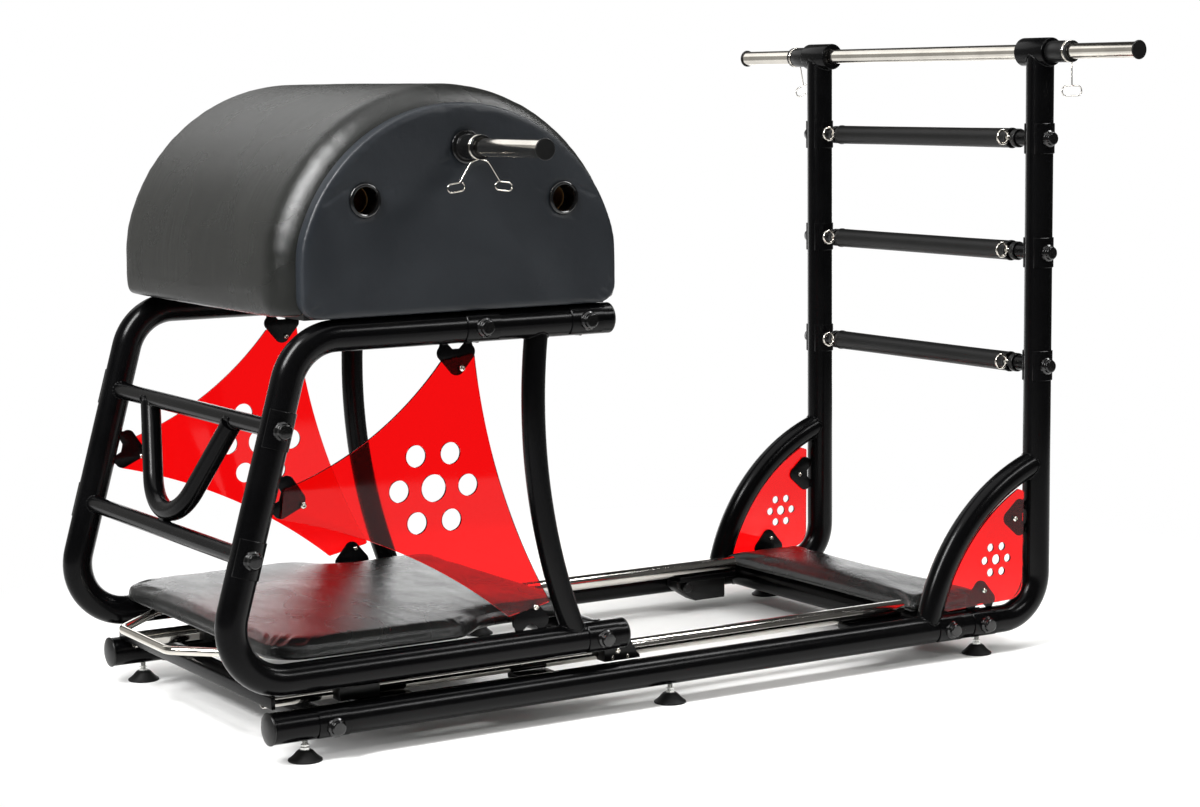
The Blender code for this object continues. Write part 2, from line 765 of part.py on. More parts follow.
def side_frame(label, side):
    """One side of the carriage: a tube bent round the front, with the bowed rear leg and the panel
    brackets welded to it."""
    y = side * CARRIAGE_HALF_WIDTH
    corners = [(TOP_END, CARRIAGE_HIGH), (leg_x(CARRIAGE_HIGH), CARRIAGE_HIGH)]
    corners += [(leg_x(CARRIAGE_LOW), CARRIAGE_LOW), (BOTTOM_END, CARRIAGE_LOW)]
    path = bent(xz(corners, y), [CARRIAGE_BEND, CARRIAGE_BEND], 5)
    frame = solid(wire(f"side_frame_{label}", path, TUBE_R))
    x0, z0 = REAR_LEG_CENTRE
    top = 180 - math.degrees(math.asin((CARRIAGE_HIGH - z0) / REAR_LEG_BEND))
    low = 180 - math.degrees(math.asin((CARRIAGE_LOW - z0) / REAR_LEG_BEND))
    rear = arc((x0, z0), REAR_LEG_BEND, top, low, 6)
    plane = side * (CARRIAGE_HALF_WIDTH - 0.0015)
    slope = math.hypot(1, LEG_SLOPE)
    inward = (1 / slope, -LEG_SLOPE / slope)
    leg_foot = (leg_x(LEG_BRACKET_Z) + TUBE_R * slope, LEG_BRACKET_Z)
    welded = [solid(wire(f"rear_leg_{label}", xz(rear, y), REAR_LEG_R, MAIN_SIDES))]
    welded.append(bracket(f"top_bracket_{label}", (-1.3668, CARRIAGE_HIGH - TUBE_R), (0, -1), plane))
    welded.append(bracket(f"leg_bracket_{label}", leg_foot, inward, plane))
    welded.append(bracket(f"low_bracket_{label}", (-1.220, CARRIAGE_LOW + TUBE_R), (0, 1), plane))
    union(frame, *welded)
    ends = {"top": (TOP_END, y, CARRIAGE_HIGH), "low": (BOTTOM_END, y, CARRIAGE_LOW)}
    cut(frame, *[tube_end(f"{place}_bore_{label}", end, (1, 0, 0)) for place, end in ends.items()])
    part(frame, "frame_paint", CARRIAGE)
    for place, end in ends.items():
        cap = turned(f"frame_cap_{place}_{label}", end_cap_profile(TUBE_R), MAIN_SIDES)
        part(aim(cap, (1, 0, 0), end), "black_plastic", CARRIAGE)


def step_bar(name, height):
    """A front cross bar. Its ends are shaped to the leaning legs."""
    x = leg_x(height)
    wide = CARRIAGE_HALF_WIDTH
    bar = rod(name, (x, -wide, height), (x, wide, height), STEP_R, SMALL_SIDES)
    for label, side in SIDES.items():
        low = (leg_x(height - 0.1), side * wide, height - 0.1)
        high = (leg_x(height + 0.1), side * wide, height + 0.1)
        cut(bar, rod(f"{name}_cope_{label}", low, high, clear_of(TUBE_R, MAIN_SIDES)))
    return bar


def steps():
    """The two front cross bars. The upper one carries the V-shaped brace, which stands on the lower."""
    lower = step_bar("step_lower", STEP_LOWER_Z)
    upper = step_bar("step_upper", STEP_UPPER_Z)
    y, z = BRACE_V_TOP
    path = [(leg_x(z), y, z), (leg_x(BRACE_V_TIP), 0, BRACE_V_TIP), (leg_x(z), -y, z)]
    brace = solid(wire("v_brace", bent(path, [BRACE_V_BEND], 6), BRACE_V_R, SMALL_SIDES))
    x = leg_x(STEP_LOWER_Z)
    tab = box("v_tab", (x - 0.004, -0.012, STEP_LOWER_Z), (x + 0.012, 0.012, 0.405))
    union(upper, brace, tab)
    seat = clear_of(STEP_R, SMALL_SIDES)
    cut(upper, rod("v_seat", (x, -0.2, STEP_LOWER_Z), (x, 0.2, STEP_LOWER_Z), seat, SMALL_SIDES))
    part(lower, "frame_paint", CARRIAGE)
    part(upper, "frame_paint", CARRIAGE)


def carriage_beams():
    for place, x in BEAMS.items():
        beam = coped_tube(f"drum_beam_{place}", x, CARRIAGE_HIGH, TUBE_R, CARRIAGE_HALF_WIDTH)
        part(beam, "frame_paint", CARRIAGE)
    tie = coped_tube("rear_tie", TIE_X, CARRIAGE_LOW, TUBE_R, CARRIAGE_HALF_WIDTH)
    part(tie, "frame_paint", CARRIAGE)


def carriage_pad():
    """The padded board between the side frames, notched for the rear legs, with the two blocks under
    it that hold the release handle."""
    wide = 0.378
    half = [(-1.066 - 0.0015, 0.16)]
    half += arc((-1.096, 0.280), 0.030, 0, 90, 3)
    half += [(-1.180, 0.309), (-1.250, 0.310), (-1.300, 0.325), (-1.345, 0.365), (-1.370, wide)]
    half += [(-1.520, wide - 0.001)]
    half += arc((-1.742 + 0.075, wide - 0.075), 0.075, 90, 180, 6)
    half += [(-1.742 + 0.002, 0.16)]
    obj = pad("carriage_pad", mirrored(half), (-1.42, 0), PAD_LOW, PAD_HIGH, 0.005)
    for label, side in SIDES.items():
        ys = sorted((side * 0.229, side * 0.261))
        low = (HANDLE_SEAT_X[0], ys[0], HANDLE_Z - 0.014)
        block = box(f"handle_seat_{label}", low, (HANDLE_SEAT_X[1], ys[1], PAD_LOW + 0.006))
        union(obj, block)
        start = (HANDLE_SEAT_X[0] - 0.05, side * 0.245, HANDLE_Z)
        end = (HANDLE_SEAT_X[1] + 0.05, side * 0.245, HANDLE_Z)
        cut(obj, rod(f"handle_bore_{label}", start, end, HANDLE_R + TURNING_GAP, SMALL_SIDES))
    return part(obj, "vinyl", CARRIAGE)


def release_handle():
    """The bowed rod at the front of the carriage, pulled towards -X to let the carriage slide."""
    corners = [(-1.500, -0.245), (-1.700, -0.245), (-1.832, -0.112), (-1.832, 0.112)]
    corners += [(-1.700, 0.245), (-1.500, 0.245)]
    origin = Vector((-1.832, 0, HANDLE_Z))
    points = [Vector((x, y, HANDLE_Z)) - origin for x, y in corners]
    handle = wire("release_handle", bent(points, [0.100, 0.035, 0.035, 0.100], 3), HANDLE_R, 10)
    handle.location = origin
    return part(handle, "stainless", CARRIAGE)


def guide(place, label, side):
    """A plastic block that hooks round a rail from above, with a lug against the side frame."""
    start, end = GUIDES[place]
    bore = BAR_R + TURNING_GAP
    low = GUIDE_LOW - RAIL_Z
    high = GUIDE_HIGH - RAIL_Z
    inner = GUIDE_IN - RAIL_Y
    outer = CARRIAGE_HALF_WIDTH - TUBE_R - GAP - RAIL_Y
    mouth = math.degrees(math.asin(low / bore))
    throat = arc((0, 0), bore, 180 - mouth, mouth, 14)
    profile = [(outer, low), (outer, high), (inner, high), (inner, low)] + throat
    rings = []
    for x in (start, end):
        rings.append([(x, side * (RAIL_Y + a), RAIL_Z + b) for a, b in profile])
    block = loft(f"guide_{place}_{label}", rings)
    lug_end = min(end - 0.001, BOTTOM_END - 0.001)
    ys = sorted((side * (RAIL_Y + 0.014), side * (RAIL_Y + outer - 0.0005)))
    lug_low = (start + 0.001, ys[0], GUIDE_HIGH - 0.003)
    lug = box(f"lug_{place}_{label}", lug_low, (lug_end, ys[1], 0.150))
    union(block, lug)
    if place == "rear":
        slope = [(end - 0.0215, GUIDE_HIGH + 0.001), (end - 0.0116, 0.112), (end - 0.0066, 0.100)]
        slope += [(end + 0.001, 0.092), (end + 0.001, GUIDE_HIGH + 0.001)]
        middle = side * (RAIL_Y + (inner + outer) / 2)
        cut(block, solid(plate(f"guide_slope_{label}", [slope], outer - inner + 0.01, middle)))
    return part(block, "black_plastic", CARRIAGE)


def d_outline(radius, low, corner, steps):
    """A half-round outline in XZ about the drum's centre, closed by a flat bottom with round corners."""
    drop = DRUM_Z - low
    if corner:
        turn_x = math.sqrt((radius - corner) ** 2 - (drop - corner) ** 2)
        turn = math.degrees(math.atan2(drop - corner, turn_x))
        outline = arc((DRUM_X, DRUM_Z), radius, -turn, 180 + turn, steps)
        left = arc((DRUM_X - turn_x, low + corner), corner, 180 + turn, 270, 4)
        right = arc((DRUM_X + turn_x, low + corner), corner, -90, -turn, 4)
        return outline + left[1:] + right[:-1]
    turn = math.degrees(math.asin(drop / radius))
    return arc((DRUM_X, DRUM_Z), radius, -turn, 180 + turn, steps)


def drum_core():
    """The plywood body of the drum: curved skin, base board and two end plates with their holes."""
    outline = d_outline(CORE_RADIUS, CORE_LOW, 0, 24)
    outer = solid(plate("drum_core", [outline], 2 * CORE_HALF_WIDTH, 0))
    inside = d_outline(CORE_RADIUS - SKIN, CORE_LOW + SKIN, 0, 18)
    room = 2 * (CORE_HALF_WIDTH - PLYWOOD)
    cut(outer, solid(plate("core_room", [inside], room, 0)))
    hole = clear_of(HOLE_R, ROUND_SIDES)
    for number, (x, z) in enumerate((BARREL_BAR, *SIDE_HOLES)):
        cut(outer, rod(f"core_hole_{number}", (x, -0.5, z), (x, 0.5, z), hole, ROUND_SIDES))
    return part(outer, "plywood", CARRIAGE)


def drum_cushion():
    """The padded cover over the drum: crowned across its width, with its bottom edges drawn in."""
    count = 24
    sweep = 180 + 2 * CUSHION_END_ANGLE
    flat = DRUM_HALF_WIDTH - CUSHION_ROUND
    inner = (CORE_RADIUS + GAP) / math.cos(math.radians(sweep / count / 2))
    last = math.degrees(math.acos((inner - DRUM_RADIUS + CUSHION_ROUND) / CUSHION_ROUND))
    corner = arc((flat, DRUM_RADIUS - CUSHION_ROUND), CUSHION_ROUND, 90, 90 - last, 4)
    half = [(flat * 0.5, DRUM_RADIUS + 0.0005)] + corner
    profile = [(0.0, DRUM_RADIUS + 0.001)] + half
    profile += [(-y, r) for y, r in reversed(profile[1:])]
    rings = []
    for step in range(count + 1):
        angle = math.radians(sweep * step / count - CUSHION_END_ANGLE)
        to_end = sweep * min(step, count - step) / count
        drawn = 0.004 * max(0.0, 1 - to_end / 12) ** 2
        ring = []
        for y, r in profile:
            reach = r - drawn * (r - inner) / (DRUM_RADIUS - inner)
            ring.append((DRUM_X + reach * math.cos(angle), y, DRUM_Z + reach * math.sin(angle)))
        rings.append(ring)
    return part(round_edges(loft("drum_cushion", rings), 0.006, 1), "vinyl", CARRIAGE)


def drum_side(label, side):
    """A padded end of the drum, with a rounded rim and a raised grommet round each side hole."""
    back = side * SIDE_BACK
    outline = d_outline(SIDE_RADIUS, SIDE_LOW, SIDE_CORNER, 22)
    levels = ((0.004, SIDE_BACK), (0.0, SIDE_BACK + 0.005), (0.0, SIDE_FACE - SIDE_ROUND))
    rings = []
    for inset, y in levels:
        rings.append([(x, side * y, z) for x, z in offset(outline, inset)])
    for degrees in (45, 90):
        angle = math.radians(degrees)
        inset = SIDE_ROUND * (1 - math.cos(angle))
        y = SIDE_FACE - SIDE_ROUND * (1 - math.sin(angle))
        rings.append([(x, side * y, z) for x, z in offset(outline, inset)])
    obj = loft(f"drum_side_{label}", rings)
    for number, (x, z) in enumerate(SIDE_HOLES):
        rim = [(0, GROMMET_HIGH), (HOLE_R + 0.003, GROMMET_HIGH), (GROMMET_R, 0.0005)]
        rim += [(GROMMET_R, -0.004), (0, -0.004)]
        grommet = turned(f"grommet_{number}_{label}", rim)
        union(obj, aim(grommet, (0, side, 0), (x, side * SIDE_FACE, z)))
    hole = clear_of(HOLE_R, ROUND_SIDES)
    for number, (x, z) in enumerate((BARREL_BAR, *SIDE_HOLES)):
        ends = ((x, back - side * 0.05, z), (x, back + side * 0.1, z))
        cut(obj, rod(f"side_hole_{number}_{label}", *ends, hole, ROUND_SIDES))
    return part(obj, "side_vinyl", CARRIAGE)


def barrel_bush(label, side):
    """The flanged bush in the drum's end, in which the barrel bar turns."""
    bore = BAR_R + TURNING_GAP
    flange = SIDE_FACE + GAP
    inner = CORE_HALF_WIDTH - PLYWOOD
    profile = [(bore, BARREL_BUSH_OUT)]
    profile += grooved_collar(flange + 0.0035, BARREL_BUSH_OUT, BARREL_CLIP_Y)
    profile += [(GROMMET_R - 0.002, flange + 0.0035), (GROMMET_R, flange)]
    profile += [(HOLE_R, flange), (HOLE_R, inner), (bore, inner)]
    bush = turned(f"barrel_bush_{label}", profile, closed=True)
    aim(bush, (0, side, 0), (BARREL_BAR[0], 0, BARREL_BAR[1]))
    return part(bush, "black_plastic", CARRIAGE)


def barrel_bar():
    bar = capped_bar("barrel_bar", BARREL_BAR_END)
    aim(bar, (0, 1, 0), (BARREL_BAR[0], 0, BARREL_BAR[1]))
    return part(bar, "stainless", CARRIAGE)


def hole_pattern(centre, spread, radius):
    """A round cut-out with six more about it."""
    holes = [circle(centre, radius * 1.25, 10)]
    for place in circle(centre, spread, 6):
        holes.append(circle(place, radius, 8))
    return holes


def arc_through(start, middle, end, steps):
    """Points on the circle through three points, from the first to the last."""
    start, middle, end = Vector(start), Vector(middle), Vector(end)
    a = middle - start
    b = end - start
    cross = 2 * (a.x * b.y - a.y * b.x)
    reach = Vector((b.y * a.dot(a) - a.y * b.dot(b), a.x * b.dot(b) - b.x * a.dot(a))) / cross
    centre = start + reach
    first = math.atan2(-reach.y, -reach.x)
    last = math.atan2((end - centre).y, (end - centre).x)
    sweep = (last - first) % (2 * math.pi)
    if cross < 0:
        sweep -= 2 * math.pi
    return arc(centre, reach.length, math.degrees(first), math.degrees(first + sweep), steps)


def carriage_panel(label, side):
    """A large red side panel: three concave sides between its brackets, with cut-outs."""
    front = arc_through((-1.400, 0.690), (-1.5465, 0.561), (-1.715, 0.486), 8)
    low = arc_through((-1.722, 0.434), (-1.4926, 0.352), (-1.270, 0.209), 8)
    back = arc_through((-1.1805, 0.227), (-1.267, 0.412), (-1.3326, 0.700), 8)
    outline = front + low + back
    y = side * (CARRIAGE_HALF_WIDTH + BRACKET / 2 - 0.0015 + GAP + PANEL / 2)
    holes = hole_pattern((-1.420, 0.462), 0.070, 0.020)
    panel = solid(plate(f"carriage_panel_{label}", [outline] + holes, PANEL, y))
    return part(panel, "red_acrylic", CARRIAGE)


def ladder_panel(label, side):
    """A small red panel in the corner of the base frame, along the curved brace."""
    clear = BRACE_BEND - BRACE_R - 0.005
    curve = arc(BRACE_CENTRE, clear, 117.0, 163.3, 7)
    corner = arc((-0.075, 0.140), 0.036, 0, -90, 4)
    outline = [(-0.0375, 0.330)] + curve + [(-0.238, 0.0985)] + list(reversed(corner))
    y = side * (HALF_WIDTH + BRACKET / 2 - 0.0015 + GAP + PANEL / 2)
    holes = hole_pattern((-0.111, 0.193), 0.030, 0.0085)
    panel = solid(plate(f"ladder_panel_{label}", [outline] + holes, PANEL, y))
    return part(panel, "red_acrylic", BASE)


def build():
    for label, side in SIDES.items():
        base_frame(label, side)
        base_cap(label, side)
        rail(label, side)
        ladder_bush(label, side)
        ladder_clip(label, side)
        ladder_panel(label, side)
        side_frame(label, side)
        drum_side(label, side)
        barrel_bush(label, side)
        barrel_clip(label, side)
        carriage_panel(label, side)
        for place in GUIDES:
            guide(place, label, side)
        for place in FEET:
            foot(place, label)
    for label, height in RUNG_HEIGHTS.items():
        rung(label, height)
        grip(label, height)
    front_plate()
    cross_tubes()
    platform_pad()
    ladder_bar()
    stop()
    steps()
    carriage_beams()
    carriage_pad()
    release_handle()
    drum_core()
    drum_cushion()
    barrel_bar()


build()
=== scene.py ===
"""Looks of the pilates ladder barrel: materials, padded covers, fine tubes, welds, fasteners and wire,
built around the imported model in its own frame. Metres, +Z up. The barrel lies towards -X and the
ladder stands at X = 0; "near" is the -Y side."""

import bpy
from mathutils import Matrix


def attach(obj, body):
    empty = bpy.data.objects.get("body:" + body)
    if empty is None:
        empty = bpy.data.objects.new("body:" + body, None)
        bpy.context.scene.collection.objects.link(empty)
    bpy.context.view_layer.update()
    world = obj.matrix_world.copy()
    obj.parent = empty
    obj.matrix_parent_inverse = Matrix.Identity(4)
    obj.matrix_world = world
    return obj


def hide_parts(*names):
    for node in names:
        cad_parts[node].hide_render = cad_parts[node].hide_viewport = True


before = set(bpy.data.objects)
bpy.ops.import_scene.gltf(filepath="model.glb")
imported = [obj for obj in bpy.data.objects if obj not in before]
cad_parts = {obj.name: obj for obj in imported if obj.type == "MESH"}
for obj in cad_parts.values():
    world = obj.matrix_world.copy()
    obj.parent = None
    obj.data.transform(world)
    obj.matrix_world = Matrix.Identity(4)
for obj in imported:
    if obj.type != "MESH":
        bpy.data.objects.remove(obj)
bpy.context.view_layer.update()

import math

import bmesh
import bpy
from mathutils import Matrix, Vector, noise

SIDES = {"near": -1, "far": 1}

# Tube and wire radii
TUBE_R = 0.0286
BAR_R = 0.0159
BRACE_R = 0.0254
LEG_R = 0.02225
STEP_R = 0.0165
V_BRACE_R = 0.019
CLIP_R = 0.0211
WIRE_R = 0.0013

# Places of the base: HALF_WIDTH is the Y of the floor tubes and posts
HALF_WIDTH = 0.378
BASE_START = -1.7535
BASE_Z = 0.0653
TOP_Z = 1.2345
BRACE_ARC = ((0.1241, -0.0119), 0.42)
RUNGS = {"upper": 1.0583, "middle": 0.8244, "lower": 0.5905}
PLATFORM_TUBES = {"front": -0.245, "rear": -0.154}
FRONT_TUBE = (-1.639, 0.0595, 0.022)
FEET = {"front": -1.687, "middle": -0.917, "rear": -0.158}
RAIL_Y = 0.304
RAIL_Z = 0.101
BOLT_OUT = TUBE_R + 0.0022

# Places of the carriage: a side frame runs between LOW_Z and HIGH_Z at CARRIAGE_Y
CARRIAGE_Y = 0.373
LOW_Z = 0.1485
HIGH_Z = 0.7485
LOW_END = -1.023
HIGH_END = -1.049
LEG_SLOPE = 0.2849
STEPS = {"upper": 0.592, "lower": 0.372}
BEAMS = {"front": -1.323, "rear": -1.105}
TIE_X = -1.075
DRUM = (-1.36, 0.823)
DRUM_R = 0.359
BARREL_BAR = (-1.3535, 1.072)
SIDE_HOLES = ((-1.555, 0.983), (-1.153, 0.975))

LENGTHWISE, CROSSWISE, UPWARDS = (1, 0, 0), (0, 1, 0), (0, 0, 1)
MAP_LIMITS = ("From Min", "From Max", "To Min", "To Max")
CLOTH_FRAMES = 20


def put(target, **values):
    """Sets several properties at once."""
    for key, value in values.items():
        setattr(target, key, value)


# Materials


def look(name, colour, roughness, **sockets):
    """A Principled material. Keyword names are socket names with _ for each space."""
    mat = bpy.data.materials.new(name)
    mat.use_nodes = True
    shader = mat.node_tree.nodes["Principled BSDF"]
    sockets.update(Base_Color=(*colour, 1.0), Roughness=roughness)
    for socket, value in sockets.items():
        shader.inputs[socket.replace("_", " ")].default_value = value
    return mat


def node(owner, kind, *rows, **values):
    """Adds a shader node. Keywords set its properties, or its inputs where it has no such property.
    A row is (input, other node, its output) or (input, value)."""
    made = owner.node_tree.nodes.new("ShaderNode" + kind)
    for key, value in values.items():
        if key in made.bl_rna.properties:
            setattr(made, key, value)
        else:
            made.inputs[key.replace("_", " ")].default_value = value
    for socket, source, *out in rows:
        if out:
            owner.node_tree.links.new(source.outputs[out[0]], made.inputs[socket])
        else:
            made.inputs[socket].default_value = source
    return made


def link(owner, source, target, out=0):
    """Links a node's output to the output node's Surface, or to the shader's input of that name."""
    nodes = owner.node_tree.nodes
    if target == "Surface":
        end = nodes.get("Material Output") or nodes["World Output"]
    else:
        end = nodes["Principled BSDF"]
    owner.node_tree.links.new(source.outputs[out], end.inputs[target])


def maths(owner, operation, *values):
    """A maths node over numbers and (node, output) pairs."""
    rows = [(i, *value) if isinstance(value, tuple) else (i, value) for i, value in enumerate(values)]
    return node(owner, "Math", *rows, operation=operation)


def mapped(owner, source, out, *limits, **values):
    """Maps a node's output from one range to another."""
    return node(owner, "MapRange", ("Value", source, out), *zip(MAP_LIMITS, limits), **values)


def pattern(mat, scale, stretch=(1, 1, 1), turn=(0, 0, 0), kind="TexNoise", **values):
    """A noise or cell texture in the object's own metres, stretched and turned."""
    place = node(mat, "TexCoord")
    mapping = node(mat, "Mapping", ("Vector", place, "Object"), Scale=stretch, Rotation=turn)
    return node(mat, kind, ("Vector", mapping, 0), Scale=scale, **values)


def ramp(mat, source, *stops):
    """A colour ramp of (position, colour) stops over a texture."""
    made = node(mat, "ValToRGB", ("Fac", source, 0))
    elements = made.color_ramp.elements
    while len(elements) < len(stops):
        elements.new(0.5)
    for element, (position, colour) in zip(elements, stops):
        put(element, position=position, color=(*colour, 1.0))
    return made


def tint(mat, source, *stops):
    """The base colour as a ramp over a texture."""
    link(mat, ramp(mat, source, *stops), "Base Color")


def rough(mat, source, low, high):
    """The roughness, from low to high over the middle of a texture's range."""
    link(mat, mapped(mat, source, 0, 0.3, 0.7, low, high), "Roughness")


def bump(mat, *layers):
    """Stacks bump nodes. Each layer is (texture, height in metres)."""
    last = None
    for texture, height in layers:
        below = [("Normal", last, 0)] if last else []
        last = node(mat, "Bump", ("Height", texture, 0), *below, Distance=height, Strength=1.0)
    link(mat, last, "Normal")


def plain(name, colour, roughness, span, height, fine, cloud, low, high, stretch=(1, 1, 1), **sockets):
    """A finish with a fine (scale, detail) pattern for its roughness span and relief, and with its colour
    between two stops of a cloudy one."""
    mat = look(name, colour, roughness, **sockets)
    tint(mat, pattern(mat, cloud[0], Detail=cloud[1]), low, high)
    grain = pattern(mat, fine[0], stretch, Detail=fine[1])
    rough(mat, grain, *span)
    bump(mat, (grain, height))
    return mat


def steel(name, colour, span, stretch=(1, 1, 1)):
    dull = tuple(0.86 * c for c in colour)
    return plain(name, colour, 0.15, span, 0.000003, (900.0, 4.0), (14.0, 3.0), (0.35, dull), (0.6, colour),
                 stretch, Metallic=1.0)


def rubber(name, tone, scale, roughness, height):
    dark, light = (tone,) * 3, (1.5 * tone,) * 3
    span, grain = (roughness - 0.06, roughness + 0.08), (scale, 5.0)
    return plain(name, dark, roughness, span, height, grain, grain, (0.35, dark), (0.7, light),
                 Specular_IOR_Level=0.25)


def vinyl(name, dark, light, span, grain, folds, stretch=(1.0, 0.22, 1.0), turn=(0, 0, 0.6)):
    """Upholstery vinyl: cell grain, fine creases drawn out along one way and cloudy colour."""
    mat = look(name, dark, 0.4, Specular_IOR_Level=0.42)
    cloud = pattern(mat, 5.5, (1, 1, 1), turn, Detail=5.0, Distortion=0.6)
    tint(mat, cloud, (0.32, dark), (0.68, light))
    cells = pattern(mat, 620.0, kind="TexVoronoi", feature="DISTANCE_TO_EDGE")
    edges = ramp(mat, cells, (0, (0, 0, 0)), (0.28, (1, 1, 1)))
    fine = pattern(mat, 1500.0, Detail=2.0)
    crease = pattern(mat, 42.0, stretch, turn, Detail=7.0, Distortion=0.7)
    rough(mat, cloud, *span)
    bump(mat, (edges, grain), (fine, grain * 0.5), (crease, folds))
    return mat


def acrylic():
    """Clear red sheet: light passes through its faces, and its cut edges are painted a darker red as painted
    shade.
    """
    mat = look("red_acrylic", (0.92, 0.004, 0.003), 0.03, Transmission_Weight=1.0, IOR=1.35,
                    Specular_IOR_Level=0.02)
    split = node(mat, "SeparateXYZ", ("Vector", node(mat, "NewGeometry"), "Normal"))
    flat = maths(mat, "ABSOLUTE", (split, "Y"))
    # Painted shade: faces turned away from Y, the cut edges, get a darker red than the broad faces.
    tint(mat, flat, (0.35, (0.45, 0.004, 0.006)), (0.75, (0.92, 0.003, 0.004)))
    rough(mat, pattern(mat, 8.0, Detail=4.0), 0.015, 0.06)
    return mat


def plywood():
    """Birch inside the drum's holes. The faces behind the covers are black."""
    mat = look("birch_plywood", (0.42, 0.24, 0.11), 0.6)
    grain = pattern(mat, 22.0, (1.0, 0.06, 1.0), Detail=6.0, Distortion=0.7)
    tones = ((0.3, (0.42, 0.2, 0.07)), (0.5, (0.58, 0.31, 0.12)), (0.72, (0.68, 0.4, 0.18)))
    colour = ramp(mat, grain, *tones)
    place = node(mat, "TexCoord")
    split = node(mat, "SeparateXYZ", ("Vector", place, "Object"))
    flat = node(mat, "VectorMath", (0, place, "Object"), (1, (1, 0, 1)), operation="MULTIPLY")
    radial = node(mat, "VectorMath", (0, flat, 0), (1, (DRUM[0], 0, DRUM[1])), operation="DISTANCE")
    wide = maths(mat, "ABSOLUTE", (split, "Y"))
    around = maths(mat, "GREATER_THAN", (radial, "Value"), 0.3084)
    across = maths(mat, "GREATER_THAN", (wide, 0), 0.3714)
    under = maths(mat, "LESS_THAN", (split, "Z"), 0.778)
    side = maths(mat, "MAXIMUM", (around, 0), (across, 0))
    outside = maths(mat, "MAXIMUM", (side, 0), (under, 0))
    black = (0.004, 0.004, 0.004, 1.0)
    stain = node(mat, "Mix", (0, outside, 0), (6, colour, 0), (7, black), data_type="RGBA")
    link(mat, stain, "Base Color", 2)
    rough(mat, grain, 0.5, 0.72)
    bump(mat, (grain, 0.0003))
    return mat


LOOKS = {
    "paint": (plain(
        "powder_coat", (0.0014, 0.0014, 0.0016), 0.24, (0.17, 0.24), 0.00005, (650.0, 2.0), (9.0, 3.0),
        (0.35, (0.001, 0.001, 0.0012)), (0.65, (0.0018, 0.0018, 0.002)),
        Specular_IOR_Level=0.12), "frame_paint"),
    "steel": (steel("polished_steel", (0.78, 0.74, 0.67), (0.12, 0.16), (1, 0.02, 1)), "stainless"),
    "rail_steel": (steel("rail_steel", (0.76, 0.73, 0.68), (0.11, 0.16), (0.02, 1, 1)), "stainless"),
    "zinc": (steel("zinc_plate", (0.62, 0.62, 0.6), (0.2, 0.34)), "stainless"),
    "vinyl": (vinyl(
        "cover_vinyl", (0.0052, 0.0056, 0.005), (0.0098, 0.0103, 0.0094), (0.23, 0.32), 0.0001, 0.0007,
        (0.16, 1.0, 0.16), (0, 0, 0.15)), "vinyl"),
    "pad_vinyl": (vinyl(
        "pad_vinyl", (0.0066, 0.007, 0.0068), (0.011, 0.0115, 0.0112), (0.22, 0.31), 0.0001,
        0.0009), "vinyl"),
    "side_vinyl": (vinyl(
        "side_vinyl", (0.0068, 0.009, 0.0124), (0.01, 0.013, 0.0172), (0.4, 0.52), 0.00007,
        0.0007), "side_vinyl"),
    "plastic": (plain(
        "moulded_plastic", (0.004, 0.004, 0.004), 0.36, (0.3, 0.44), 0.00003, (1100.0, 3.0), (30.0, 2.0),
        (0.3, (0.0032, 0.0032, 0.0034)), (0.7, (0.0056, 0.0056, 0.0056)),
        Specular_IOR_Level=0.35), "black_plastic"),
    "gloss": (plain(
        "gloss_plastic", (0.003, 0.003, 0.003), 0.12, (0.09, 0.17), 0.00004, (40.0, 3.0), (40.0, 3.0),
        (0.3, (0.0024, 0.0024, 0.0026)), (0.7, (0.0042, 0.0042, 0.0042))), "black_plastic"),
    "foam": (rubber("grip_foam", 0.0026, 900.0, 0.42, 0.00006), "grip_foam"),
    "rubber": (rubber("foot_rubber", 0.006, 500.0, 0.58, 0.00012), "black_plastic"),
    "acrylic": (acrylic(), "red_acrylic"),
    "plywood": (plywood(), "plywood"),
}


# Shapes


def piece(obj, finish, body, *nodes):
    """Gives a new object its material, lets it ride on its body and stand for these CAD nodes."""
    mat, slot = LOOKS[finish]
    obj.data.materials.clear()
    obj.data.materials.append(mat)
    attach(obj, body)
    if nodes:
        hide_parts(*nodes)
    return obj


def placed(name, data):
    """A new object of this data."""
    obj = bpy.data.objects.new(name, data)
    bpy.context.scene.collection.objects.link(obj)
    return obj


def evaluated(obj):
    """A new mesh of the object as its modifiers or curve settings leave it."""
    bpy.context.view_layer.update()
    return bpy.data.meshes.new_from_object(obj.evaluated_get(bpy.context.evaluated_depsgraph_get()))


def from_bmesh(name, bm, sharp=32):
    """A smooth object, with edges sharper than this many degrees kept sharp."""
    bmesh.ops.recalc_face_normals(bm, faces=bm.faces)
    mesh = bpy.data.meshes.new(name)
    bm.to_mesh(mesh)
    bm.free()
    mesh.shade_smooth()
    mesh.set_sharp_from_angle(angle=math.radians(sharp))
    return placed(name, mesh)


def joined(name, *parts):
    """One object from several."""
    bm = bmesh.new()
    for part in parts:
        part.data.transform(part.matrix_world)
        bm.from_mesh(part.data)
        bpy.data.objects.remove(part, do_unlink=True)
    return from_bmesh(name, bm)


def rings_mesh(name, rings, closed=False, caps=True, sharp=32):
    """A skin through rings of equal point counts. A ring of one point closes an end."""
    bm = bmesh.new()
    rows = [[bm.verts.new(point) for point in ring] for ring in rings]
    count = max(len(row) for row in rows)
    pairs = list(zip(rows, rows[1:])) + ([(rows[-1], rows[0])] if closed else [])
    for low, high in pairs:
        for k in range(count):
            j = (k + 1) % count
            face = (low[k % len(low)], low[j % len(low)], high[j % len(high)], high[k % len(high)])
            bm.faces.new(list(dict.fromkeys(face)))
    if caps and not closed:
        bm.faces.new(rows[0])
        bm.faces.new(rows[-1])
    return from_bmesh(name, bm, sharp)


